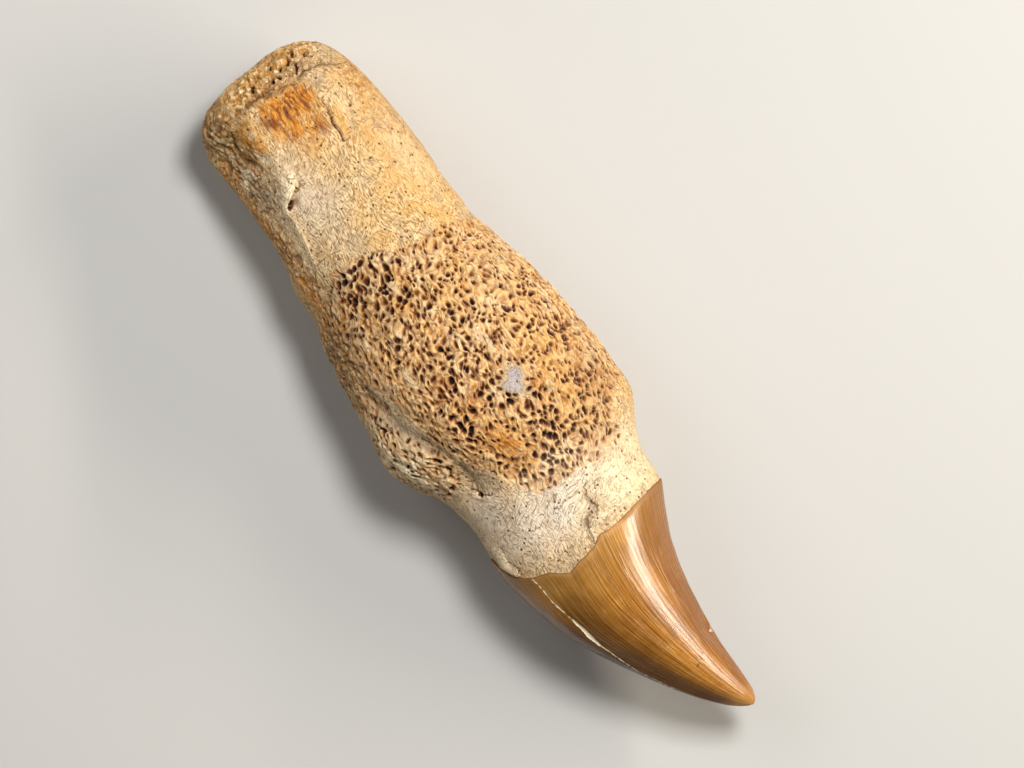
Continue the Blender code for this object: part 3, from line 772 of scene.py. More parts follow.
def bone_tree():
    """Geometry Nodes that press the pores into the spongy bone and roughen the rest of it."""
    tree, given = modifier_tree("pore_bone", BONE_SIZES)
    skin = put(tree, "GeometryNodeInputNamedAttribute", "skin", data_type="FLOAT_VECTOR")
    spot = put(tree, "ShaderNodeVectorMath", skin, given["Seed"], operation="ADD")
    read = {
        name: put(tree, "GeometryNodeInputNamedAttribute", name, data_type="FLOAT")
        for name in ("sponge", "open", "bare", "hole", "crust")
    }
    pores = spongy(tree, spot, read["open"])
    well = put(tree, "ShaderNodeMapRange", pores.inside, -0.12, 0.2, **SMOOTH)
    lip = put(tree, "ShaderNodeMapRange", pores.inside, -0.4, -0.02, **SMOOTH)
    depth = put(tree, "ShaderNodeMath", well, given["Pore Depth"], operation="MULTIPLY")
    for pattern, size in ((lip, "Lip Depth"), (pores.crease, "Crease Depth"), (pores.swell, "Hollow Depth")):
        depth = put(tree, "ShaderNodeMath", pattern, given[size], depth, operation="MULTIPLY_ADD")
    raised = put(tree, "ShaderNodeMath", pores.strut, given["Strut Height"], operation="MULTIPLY")
    sunk = put(tree, "ShaderNodeMath", depth, raised, operation="SUBTRACT")
    share = put(tree, "ShaderNodeMapRange", read["sponge"], -0.1, 0.9, **SMOOTH)
    depth = put(tree, "ShaderNodeMath", sunk, share, operation="MULTIPLY")

    grain = put(tree, "ShaderNodeTexNoise", inputs={"Vector": spot, "Scale": 1 / GRAIN, "Detail": 3.0})
    pits = put(tree, "ShaderNodeMath", 1.0, crusty(tree, spot), operation="SUBTRACT")
    crumbled = put(tree, "ShaderNodeMath", pits, read["crust"], operation="MULTIPLY")
    opened = put(tree, "ShaderNodeMapRange", torn(tree, spot, read["hole"]), -0.12, 0.14, **SMOOTH)
    for pattern, size in ((grain, "Grain Height"), (crumbled, "Crust Depth"), (opened, "Hole Depth")):
        depth = put(tree, "ShaderNodeMath", pattern, given[size], depth, operation="MULTIPLY_ADD")
    press_and_finish(tree, given, put(tree, "ShaderNodeMath", depth, read["bare"], operation="MULTIPLY"))
    return tree


def crown_tree():
    """Geometry Nodes that cut the enamel's fine striations, which run from its margin to its tip."""
    tree, given = modifier_tree("stria_enamel", CROWN_SIZES)
    flow = put(tree, "GeometryNodeInputNamedAttribute", "flow", data_type="FLOAT_VECTOR")
    spot = put(tree, "ShaderNodeVectorMath", flow, given["Seed"], operation="ADD")
    scale = put(tree, "ShaderNodeMath", 1.0, given["Ridge Pitch"], operation="DIVIDE")
    ridges = put(tree, "ShaderNodeTexNoise", inputs={"Vector": spot, "Scale": scale, "Detail": 2.0})
    outer = put(tree, "GeometryNodeInputNamedAttribute", "outer", data_type="FLOAT")
    height = put(tree, "ShaderNodeMath", ridges, given["Ridge Height"], operation="MULTIPLY")
    press_and_finish(tree, given, put(tree, "ShaderNodeMath", height, outer, operation="MULTIPLY"))
    return tree


def linked(name, data):
    """An object of the data, in the scene."""
    obj = bpy.data.objects.new(name, data)
    bpy.context.scene.collection.objects.link(obj)
    return obj


def grown(name, mesh, tree, values):
    """The mesh with the tree's modifier on it made plain, as an object at the origin."""
    draft = linked(name + "_draft", mesh)
    modifier = draft.modifiers.new("relief", "NODES")
    modifier.node_group = tree
    for item in tree.interface.items_tree:
        if item.in_out == "INPUT" and item.name in values:
            modifier[item.identifier] = values[item.name]
    evaluated = draft.evaluated_get(bpy.context.evaluated_depsgraph_get())
    made = bpy.data.meshes.new_from_object(evaluated)
    made.name = name
    if np.isnan(positions(made)).any():
        raise RuntimeError(name + " has points without a place")
    set_positions(made, np.clip(positions(made), LOW * JUST_INSIDE, HIGH * JUST_INSIDE))
    draft.modifiers.remove(modifier)
    bpy.data.objects.remove(draft)
    bpy.data.meshes.remove(mesh)
    return linked(name, made)


# ---------------------------------------------------------------- the skins

CLOSING = 5  # pits up to twice as many rings or points wide are closed on the barrel
# How far the skins are blurred, in rings and in points round
BARREL_BLUR = (2.6, 2.6)
BONE_BLUR = (1.6, 1.8)
CROWN_BLUR = (0.7, 1.2)
# Past the enamel's margin, the bone's marks and pores die away between these
BARE = (0.25, -0.35)
# Where the sponge starts and ends along X on the flanks and beneath
FLANK_SPONGE = (-27.0, 11.0)
# Where it comes in on the butt, and where its openness changes to the butt's
BUTT_SPONGE = (-59.3, -61.0)
BUTT_CHANGE = (-57.0, -61.0)
CRACK_DEPTH = 0.14
EDGE_BACK = 0.06  # how far the enamel's first ring is set back,
EDGE_ROUND = 0.1  # how much lower the edge's top is,
OFF_BONE = 0.03  # and how far the edge's foot stays off the bone
RAGGED_BY = 0.22  # how far the enamel's broken edge wanders from the solid's
RAGGED_BETWEEN = (-0.35, 0.5)  # and the most that it may, either way
# The striations' space: its first two numbers go round a circle, and its third runs from margin to tip.
# That is so short that patterns in it are drawn out along the crown.
FLOW_RADIUS = 14.0
FLOW_LENGTH = 1.1
# How open the sponge is where the open patches don't reach
OPEN_BENEATH = 0.35
OPEN_BUTT = 0.22


def bowl(rim, pole, shares, rise):
    """Rings at those shares of the way from a rim to a pole. They bulge along X, halfway by the rise."""
    return [rim + (pole - rim) * share + [4 * rise * share * (1 - share), 0, 0] for share in shares]


def bone_rings(caster, way, margin):
    """The bone's rings from butt to neck, on under the enamel and up the dome, and the dome's pole."""
    # Over the butt the rays fan out from one place
    fan = round(math.pi / 2 * BUTT_RADIUS / BUTT_STEP)
    starts = [np.tile(caster.middle(SHAFT_X), (BONE_POINTS, 1))] * fan
    ways = []
    for i in range(fan):
        turn = math.pi / 2 * (1 - (i + 1) / (fan + 1))
        ways.append(np.array([-math.sin(turn), 0, 0]) + way * math.cos(turn))
    straight = spans(SHAFT_X, BARREL_X, SHAFT_STEP) + spans(BARREL_X, NECK_X, BARREL_STEP)
    stations = [np.full(BONE_POINTS, x) for x in straight]
    neck_rings = round((NECK_END_X - NECK_X) / NECK_STEP)
    stations += [NECK_X + (margin + TUCK - NECK_X) * i / neck_rings for i in range(neck_rings + 1)]
    starts = np.array(starts + [caster.middle(x) for x in stations])
    ways = np.array(ways + [way] * len(stations))
    rows = len(starts)
    reach = caster.reach(caster.whole, starts.reshape(-1, 3), ways.reshape(-1, 3)).reshape(rows, -1)

    # The skin bridges the joint between the solids and runs on under the enamel
    x = starts[:, :, 0]
    past_margin = x - margin
    under_enamel = past_margin > JOINT[1]
    reach = np.where(under_enamel, reach - ENAMEL_PROUD, reach)
    in_joint = (past_margin > JOINT[0]) & ~under_enamel
    for column in range(BONE_POINTS):
        known = ~in_joint[:, column] & ~np.isnan(reach[:, column])
        reach[:, column] = np.interp(np.arange(rows), np.nonzero(known)[0], reach[known, column])

    # The solid's coarse pits are closed on the barrel, because the modifier presses finer ones
    closed = extreme(extreme(reach, CLOSING, np.maximum), CLOSING, np.minimum)
    barrel = smooth(BARREL_X, BARREL_X + 2, x) * (1 - smooth(NECK_X - 3, NECK_X, x))
    barrel[:fan] = 0
    reach = reach * (1 - barrel) + blurred(closed, *BARREL_BLUR) * barrel
    reach = blurred(reach, *BONE_BLUR)
    rings = starts + ways * reach[:, :, None]
    dome = caster.middle(DOME_X - POLE_GAP)
    return np.concatenate([rings, bowl(rings[-1], dome, (0.08, 0.3, 0.55, 0.8), 1.0)]), dome


def sponge_at(points, plan, upper):
    """How far inside the worn spongy bone each place is, in mm. Below 0 it is compact."""
    x, y, z = points.T
    # On the flanks and beneath it ends in waves, a few mm deep
    ripple = 1.6 * np.sin(y * 0.8 + z * 0.5) + 1.1 * np.sin(z * 1.3)
    start = FLANK_SPONGE[0] + 3.0 * np.sin(y * 0.35) + ripple
    end = FLANK_SPONGE[1] + 2.5 * np.sin(y * 0.3 + 1.0) + ripple
    beneath = np.minimum(x - start, end - x)
    sponge = inside_by(plan, SPONGE_RIM) * upper + beneath * (1 - upper)
    # The broken butt shows a little sponge too, past its slanting ledge
    butt = smooth(*BUTT_SPONGE, x + 0.12 * (plan[:, 1] - 4.0)) * 3 - 1.4
    sponge = np.maximum(sponge, butt)
    sealed = patches_at(plan, SEALED) * upper
    return np.minimum(sponge, 1.6) - sealed * 3.0 * (sponge > -2)


def bone_mesh(caster):
    """The bone's skin before its pores, with what its tree and its material read at each point."""
    angles = angles_round(BONE_POINTS, BONE_BENEATH)
    margin = caster.margin(angles)
    rings, dome = bone_rings(caster, ways_round(angles), margin)
    butt = np.array([LOW.x + 0.05, *caster.middle(SHAFT_X)[1:]])
    mesh = skin_mesh(BONE, rings, butt, dome)

    points = positions(mesh)
    plan = in_plan(points)
    out = normals(mesh)
    upper = smooth(-0.15, 0.25, out[:, 2])
    margins = np.concatenate([np.tile(margin, len(rings)), margin[:1], margin[:1]])
    bare = smooth(*BARE, points[:, 0] - margins)
    furrows = cuts_at(plan, FURROWS)
    depth = furrows + cuts_at(plan, DENTS) - cuts_at(plan, RIDGES) - ledges_at(plan)
    set_positions(mesh, points - out * (depth * upper * bare)[:, None])

    opening = np.maximum(patches_at(plan, OPEN) * upper, OPEN_BENEATH * (1 - upper))
    butt_share = smooth(*BUTT_CHANGE, points[:, 0])
    opening = opening * (1 - butt_share) + OPEN_BUTT * butt_share
    store(mesh, "skin", points)
    store(mesh, "sponge", sponge_at(points, plan, upper))
    store(mesh, "open", opening)
    store(mesh, "bare", bare)
    store(mesh, "crust", patches_at(plan, CRUST) * upper)
    for name, patches in TONES.items():
        strength = patches_at(plan, patches)
        # The furrows get painted shade too
        if name == "umber":
            strength = np.maximum(strength, furrows)
        store(mesh, name, strength * upper)
    for name, distance, none in (
        ("scratch", astride(plan, SCRATCHES), FAR),
        ("outline", astride(plan, OUTLINES), FAR),
        ("hole", hole_edge(plan, HOLES), -FAR),
    ):
        store(mesh, name, np.where(upper > 0.3, distance, none))
    return mesh


# The pale crack down the crown, as stations of its path in plan with half its width there
CRACK = (
    (26.4, -12.9, 0.08), (28.7, -12.6, 0.07), (32.1, -12.6, 0.05), (36.5, -11.9, 0.08), (38.2, -11.6, 0.3),
    (40.4, -11.4, 0.3), (42.0, -11.1, 0.1), (43.7, -10.6, 0.05), (46.7, -9.8, 0.07), (49.2, -9.0, 0.05),
    (52.4, -7.5, 0.05), (55.0, -6.3, 0.03), (55.6, -5.3, 0.01),
)
HAIRLINE = Cut(((53.2, 1.5), (53.9, 0.2), (54.7, -1.2)), 0.12, 0.05)
NICK = Cut(((51.0, 4.9), (51.4, 4.2)), 0.25, 0.5)


def ragged(angles):
    """How far the enamel's broken edge wanders from the solid's, along X."""
    draw = np.random.default_rng(3)
    wave = np.zeros_like(angles)
    for k in (7, 11, 17, 29, 43, 61, 83):
        wave += draw.uniform(0.4, 1.0) * np.sin(k * angles + draw.uniform(0, 2 * math.pi)) / k**0.5
    return np.clip(RAGGED_BY * wave, *RAGGED_BETWEEN)


def crown_rings(caster, angles, shares):
    """The crown's rings: its hollow base and its thin edge, then its outside at those shares of its length.

    Returned with them are how many come before the outside, and the pole of the base.
    """
    way = ways_round(angles)
    solid_margin = caster.margin(angles)
    margin = solid_margin + ragged(angles)
    stations = [margin + (HIGH.x - margin) * share for share in shares]
    reaches = []
    for x in stations:
        start = caster.middle(np.maximum(x, solid_margin + JOINT[1]))
        reaches.append(np.nan_to_num(caster.reach(caster.whole, start, way), nan=TIP_RADIUS))
    reaches = blurred(np.array(reaches), *CROWN_BLUR)
    outer = np.array([caster.middle(x) + way * reach[:, None] for x, reach in zip(stations, reaches)])
    outer[0, :, 0] += EDGE_BACK

    # The edge is rounded over, and its foot stays just off the bone, also further in
    edge_top = caster.middle(margin) + way * (reaches[0] - EDGE_ROUND)[:, None]
    foot_reach = reaches[0] - ENAMEL_PROUD + OFF_BONE
    edge_foot = caster.middle(margin) + way * foot_reach[:, None] + [OFF_BONE, 0, 0]
    inner_reach = np.minimum(reaches[0], reaches[3]) - ENAMEL_PROUD - 0.05
    inner_foot = caster.middle(margin + TUCK + 0.7) + way * inner_reach[:, None]
    dome = caster.middle(DOME_X + POLE_GAP)
    hidden = bowl(inner_foot, dome, (0.85, 0.6, 0.3), 1.25) + [inner_foot, edge_foot, edge_top]
    return np.concatenate([hidden, outer]), len(hidden), dome


def crown_mesh(caster):
    """The crown's skin before its ridges, with what its tree and its material read at each point."""
    angles = angles_round(CROWN_POINTS, CROWN_BENEATH)
    # Rings stand closer together towards the tip
    shares = [math.sin(math.pi / 2 * (i / CROWN_RINGS)) for i in range(CROWN_RINGS)]
    rings, hidden, dome = crown_rings(caster, angles, shares)
    tip = np.array([HIGH.x - 0.02, *caster.middle(LINE_X[-1])[1:]])
    mesh = skin_mesh(CROWN, rings, dome, tip)

    # The two poles come last: the base's and the tip's
    is_outer = np.append(np.repeat([0.0] * hidden + [1.0] * CROWN_RINGS, CROWN_POINTS), [0.0, 1.0])
    along = np.append(np.repeat([0.0] * hidden + shares, CROWN_POINTS), [0.0, 1.0])
    round_by = np.append(np.tile(angles, len(rings)), [0.0, 0.0])
    points = positions(mesh)
    plan = in_plan(points)
    out = normals(mesh)
    upper = smooth(-0.1, 0.2, out[:, 2])

    crack = np.full(len(plan), -FAR)
    slope = np.clip(out[:, 2] * 1.6, 0.3, 1.0)  # in plan the crack narrows where the side is steep
    for (ax, ay, aw), (bx, by, bw) in zip(CRACK, CRACK[1:]):
        crack = np.maximum(crack, (aw + bw) / 2 - off_path(plan, ((ax, ay), (bx, by))) / slope)
    crack = np.where(upper > 0.2, crack, -FAR)
    chips = cuts_at(plan, (NICK,)) + cuts_at(plan, (HAIRLINE,))
    sunk = CRACK_DEPTH * smooth(-0.05, 0.12, crack) + chips * upper
    set_positions(mesh, points - out * (sunk * is_outer)[:, None])

    flow = (np.cos(round_by) * FLOW_RADIUS, np.sin(round_by) * FLOW_RADIUS, along * FLOW_LENGTH)
    store(mesh, "flow", np.stack(flow, axis=-1))
    store(mesh, "along", along)
    store(mesh, "outer", is_outer)
    store(mesh, "crack", crack)
    store(mesh, "hairline", np.where(upper > 0.2, 0.1 - off_path(plan, HAIRLINE.path), -FAR))
    store(mesh, "skin", points)
    return mesh


# ---------------------------------------------------------------- materials

# The sizes of the enamel's patterns in mm: its striations' round the crown's margin
SOFT_STRIA = 2.0
FINE_STRIA = 0.2778
PALE_STRIAE = ((0.25, 0.4), (0.4762, 0.6))  # the pale threads' sizes, and how far each covers
RINGS = 110.0  # with FLOW_LENGTH, this sets the faint rings about a third of a mm apart
CLOUD = 7.143
CHIP = 0.5  # the breaks in the crack's filling


def new_material(name, sockets):
    """A new material and its shader. What is the same all over is set on the shader's own sockets."""
    material = bpy.data.materials.new(name)
    material.use_nodes = True
    shader = material.node_tree.nodes["Principled BSDF"]
    for socket, value in sockets.items():
        shader.inputs[socket].default_value = value
    return material, shader


def link(shader, **sources):
    """Feeds a shader's sockets, named with _ for a space."""
    for name, source in sources.items():
        shader.id_data.links.new(source, shader.inputs[name.replace("_", " ")])


def layered(tree, colour, *layers):
    """The colour under layers. Each has a colour, the share that it covers, and the most that it may.

    Colours are hex codes, linear colours or sockets.
    """
    for above, share, most in layers:
        amount = put(tree, "ShaderNodeMath", share, most, operation="MULTIPLY", use_clamp=True)
        lower, upper = (linear(c) if isinstance(c, str) else c for c in (colour, above))
        mix = put(tree, "ShaderNodeMix", inputs={0: amount, 6: lower, 7: upper}, data_type="RGBA")
        colour = mix.outputs[2]
    return colour


def toned(tree, value, low, high, colours):
    """A colour from hex codes or linear colours, evenly spaced while the value runs from low to high."""
    ramp = put(tree, "ShaderNodeValToRGB", value)
    elements = ramp.color_ramp.elements
    while len(elements) < len(colours):
        elements.new(0.5)
    for i, colour in enumerate(colours):
        elements[i].position = low + (high - low) * i / (len(colours) - 1)
        elements[i].color = linear(colour) if isinstance(colour, str) else colour
    return ramp.outputs[0]


def bone_material(settings):
    """Permineralised bone: matt, cream where compact, tan to amber where spongy, its pores painted near-black
    as shade.
    """
    material, shader = new_material(
        "permineralised_bone", {"Roughness": 0.8, "IOR": 1.55, "Specular IOR Level": 0.25})
    tree = material.node_tree
    read = {
        name: put(tree, "ShaderNodeAttribute", attribute_name=name).outputs["Fac"]
        for name in ("sponge", "open", "crust", "hole", "scratch", "outline", *TONES)
    }
    skin = put(tree, "ShaderNodeAttribute", attribute_name="skin").outputs["Vector"]
    spot = put(tree, "ShaderNodeVectorMath", skin, (settings.seed,) * 3, operation="ADD")
    pores = spongy(tree, spot, read["open"])

    bent = drifted(tree, spot, STROKE_DRIFT)
    drawn = put(tree, "ShaderNodeVectorMath", bent, (0.3, 1.0, 1.0), operation="MULTIPLY")
    longer = put(tree, "ShaderNodeVectorMath", bent, (0.16, 1.0, 1.0), operation="MULTIPLY")
    fray, hair, patchy, streaks, grit = (
        put(tree, "ShaderNodeTexNoise", inputs={"Vector": vector, "Scale": 1 / size, "Detail": detail})
        for vector, size, detail in (
            (spot, GRAIN, 3.0), (drawn, STROKE, 2.0), (bent, MOTTLE, 4.0), (longer, STREAK, 3.0),
            (spot, GRIT, 2.0),
        )
    )

    # The worn area's ragged rim
    frayed = put(tree, "ShaderNodeMath", fray, 1.6, read["sponge"], operation="MULTIPLY_ADD")
    worn = put(tree, "ShaderNodeMapRange", frayed, 0.5, 1.3, **SMOOTH)
    compact = put(tree, "ShaderNodeMath", 1.0, worn, operation="SUBTRACT")

    # Compact bone: fine strokes that swirl a little, and short slits and round pinholes 0.3 mm across
    slits = put(tree, "ShaderNodeTexVoronoi", inputs={"Vector": drawn, "Scale": 1 / SLIT_PITCH})
    slit = put(tree, "ShaderNodeMapRange", slits.outputs["Distance"], 0.13, 0.05, **SMOOTH)
    pins = put(tree, "ShaderNodeTexVoronoi", inputs={"Vector": spot, "Scale": 1 / PIN_PITCH})
    pin = put(tree, "ShaderNodeMapRange", pins.outputs["Distance"], 0.17, 0.1, **SMOOTH)
    clean = layered(
        tree, toned(tree, hair, 0.36, 0.6, ("#946834", settings.bone_colour, "#F0D4A4")),
        ("#D9A558", put(tree, "ShaderNodeMapRange", patchy, 0.5, 0.6, **SMOOTH), 0.5),
        ("#B39A78", put(tree, "ShaderNodeMapRange", patchy, 0.46, 0.36, **SMOOTH), 0.5),
        ("#7C5227", slit, 0.75),
    )

    # Spongy bone: tan struts whose pale crests are a painted highlight, and painted shade in the low hollows,
    # in the creases, browner towards each pore and near-black inside it
    deep = put(tree, "ShaderNodeMapRange", pores.inside, 0.0, 0.16, **SMOOTH)
    painted_pore_shade = layered(tree, "#55260D", (settings.pore_shade_colour, deep, 1.0))
    raw = layered(
        tree, toned(tree, pores.fibre, 0.35, 0.64, ("#945820", "#C5893C", "#E5B872")),
        # Painted shade in the low hollows
        ("#B87634", pores.swell, 0.4),
        ("#EBD6AE", put(tree, "ShaderNodeMapRange", patchy, 0.5, 0.62, **SMOOTH), 0.45),
        ("#8E775A", put(tree, "ShaderNodeMapRange", patchy, 0.44, 0.35, **SMOOTH), 0.5),
        # Painted highlight on the struts' crests
        ("#F3D6A2", pores.strut, 0.4),
        # Painted shade in the creases, on the pores' rims and, near-black, inside the pores
        ("#7A461C", pores.crease, 0.65),
        ("#84491C", put(tree, "ShaderNodeMapRange", pores.inside, -0.22, -0.02, **SMOOTH), 0.85),
        (painted_pore_shade, put(tree, "ShaderNodeMapRange", pores.inside, -0.05, 0.02, **SMOOTH), 1.0),
    )

    # Crumbly crust, pale on its tops and dark in its pits as painted shade
    height = crusty(tree, spot)
    crust = toned(tree, height, 0.0, 1.0, ("#5E3515", "#B97C38", "#E0B068", "#F7DFAF"))
    crumbly = put(tree, "ShaderNodeMapRange", read["crust"], 0.1, 0.6, **SMOOTH)
    colour = layered(tree, clean, (raw, worn, 1.0), (crust, crumbly, 1.0))

    # Stains, with painted light and shade among them, streaked along the fibres, but not in the pores
    pored = put(tree, "ShaderNodeMapRange", pores.inside, -0.2, 0.0, **SMOOTH)
    in_pore = put(tree, "ShaderNodeMath", pored, worn, operation="MULTIPLY")
    solid = put(tree, "ShaderNodeMath", 1.0, in_pore, operation="SUBTRACT")
    mostly_compact = put(tree, "ShaderNodeMapRange", worn, 0.0, 1.0, 1.0, 0.25)
    patches = put(tree, "ShaderNodeMapRange", patchy, 0.3, 0.65, 0.5, 1.4)
    frays = put(tree, "ShaderNodeMapRange", fray, 0.35, 0.6, 0.4, 1.5)
    streak = put(tree, "ShaderNodeMapRange", hair, 0.35, 0.65, 1.15, 0.85)
    rusty = toned(tree, streaks, 0.38, 0.62, ("#93500C", "#BD7014", "#D9983A"))
    for name, stain, most, uneven, area in (
        ("chalk", "#E8DAC6", 0.85, patches, mostly_compact),
        ("ochre", "#D39A45", 0.65, patches, solid),
        ("ash", "#AF9D84", 0.75, patches, solid),
        ("umber", "#5E3C20", 0.8, patches, solid),
        ("cream", "#F4DFB6", 0.75, patches, solid),
        ("rust", rusty, 0.95, frays, solid),
    ):
        share = read[name]
        for factor in (uneven, streak, area):
            share = put(tree, "ShaderNodeMath", share, factor, operation="MULTIPLY")
        colour = layered(tree, colour, (stain, share, most))
    dark = put(tree, "ShaderNodeMapRange", streaks, 0.46, 0.36, **SMOOTH)
    seams = put(tree, "ShaderNodeMath", read["rust"], dark, operation="MULTIPLY")

    # Marks on the compact bone: bold strokes, fine hatching across them, and pinholes
    bold = put(tree, "ShaderNodeMapRange", fray, 0.38, 0.6, 0.1, 1.0)
    marked = put(tree, "ShaderNodeMath", bold, compact, operation="MULTIPLY")
    stroked = put(tree, "ShaderNodeMapRange", hair, 0.47, 0.34, **SMOOTH)
    strokes = put(tree, "ShaderNodeMath", stroked, marked, operation="MULTIPLY")
    askew = put(tree, "ShaderNodeVectorRotate", inputs={"Vector": bent, "Angle": 1.1}, rotation_type="Z_AXIS")
    crossing = put(tree, "ShaderNodeVectorMath", askew, (0.2, 1.0, 1.0), operation="MULTIPLY")
    faint = put(tree, "ShaderNodeMapRange", fray, 0.6, 0.4, 0.0, 1.0)
    stronger = put(tree, "ShaderNodeMath", read["chalk"], 0.5, faint, operation="MULTIPLY_ADD")
    hatching = threads(tree, crossing, HATCH, 1.0, 0.045, 0.01)
    line = put(tree, "ShaderNodeMath", hatching, compact, operation="MULTIPLY")
    hatch = put(tree, "ShaderNodeMath", line, stronger, operation="MULTIPLY")
    pricks = put(tree, "ShaderNodeMath", pin, compact, operation="MULTIPLY")

    # Listed lines waver by noise, and holes are torn by it
    drawn_lines = []
    for name, noise, sway, border, core in (
        ("scratch", hair, 0.3, 0.33, 0.2), ("outline", fray, 0.6, 0.46, 0.3),
    ):
        beside = put(tree, "ShaderNodeMath", read[name], operation="ABSOLUTE")
        wavering = put(tree, "ShaderNodeMath", noise, sway, beside, operation="MULTIPLY_ADD")
        drawn_lines.append(put(tree, "ShaderNodeMapRange", wavering, border, core, **SMOOTH))
    scratch, outline = drawn_lines
    hole = torn(tree, spot, read["hole"])
    colour = layered(
        tree, colour,
        ("#B6ABB0", put(tree, "ShaderNodeMapRange", read["ash"], 1.1, 1.9, **SMOOTH), 0.75),
        ("#74390A", seams, 0.7),
        ("#80572B", strokes, 0.42),
        ("#94704A", hatch, 0.45),
        ("#5A3614", pricks, 0.85),
        ("#613A1A", scratch, 0.85),
        ("#8F5E2A", outline, 0.65),
        # Holes: browner at the edge and near-black inside, as painted shade
        ("#6B3F1C", put(tree, "ShaderNodeMapRange", hole, -0.14, -0.02, **SMOOTH), 1.0),
        ("#1C0D06", put(tree, "ShaderNodeMapRange", hole, -0.02, 0.1, **SMOOTH), 1.0),
    )

    # Relief too fine for the mesh, in mm: on the compact bone, on the sponge and on the crust
    dented = put(tree, "ShaderNodeMath", patchy, 0.7, operation="MULTIPLY")
    gritty = put(tree, "ShaderNodeMath", grit, 0.12, dented, operation="MULTIPLY_ADD")
    lips = put(tree, "ShaderNodeMapRange", pores.inside, -0.2, 0.05, **SMOOTH)
    reliefs = []
    for parts in (
        ((hair, 0.21), (slit, -0.12), (pin, -0.16), (hatch, -0.13), (outline, -0.1), (scratch, -0.12)),
        ((pores.fibre, 0.2), (pores.strut, 0.08), (lips, -0.2)),
    ):
        total = gritty
        for pattern, size in parts:
            total = put(tree, "ShaderNodeMath", pattern, size, total, operation="MULTIPLY_ADD")
        reliefs.append(total)
    both = put(tree, "ShaderNodeMix", worn, inputs={2: reliefs[0], 3: reliefs[1]})
    crusted = put(tree, "ShaderNodeMath", height, read["crust"], operation="MULTIPLY")
    relief = put(tree, "ShaderNodeMath", crusted, 0.3, both, operation="MULTIPLY_ADD")
    bump = put(tree, "ShaderNodeBump", inputs={"Strength": 1.0, "Distance": MM, "Height": relief})
    link(shader, Base_Color=colour, Normal=bump.outputs[0])
    return material


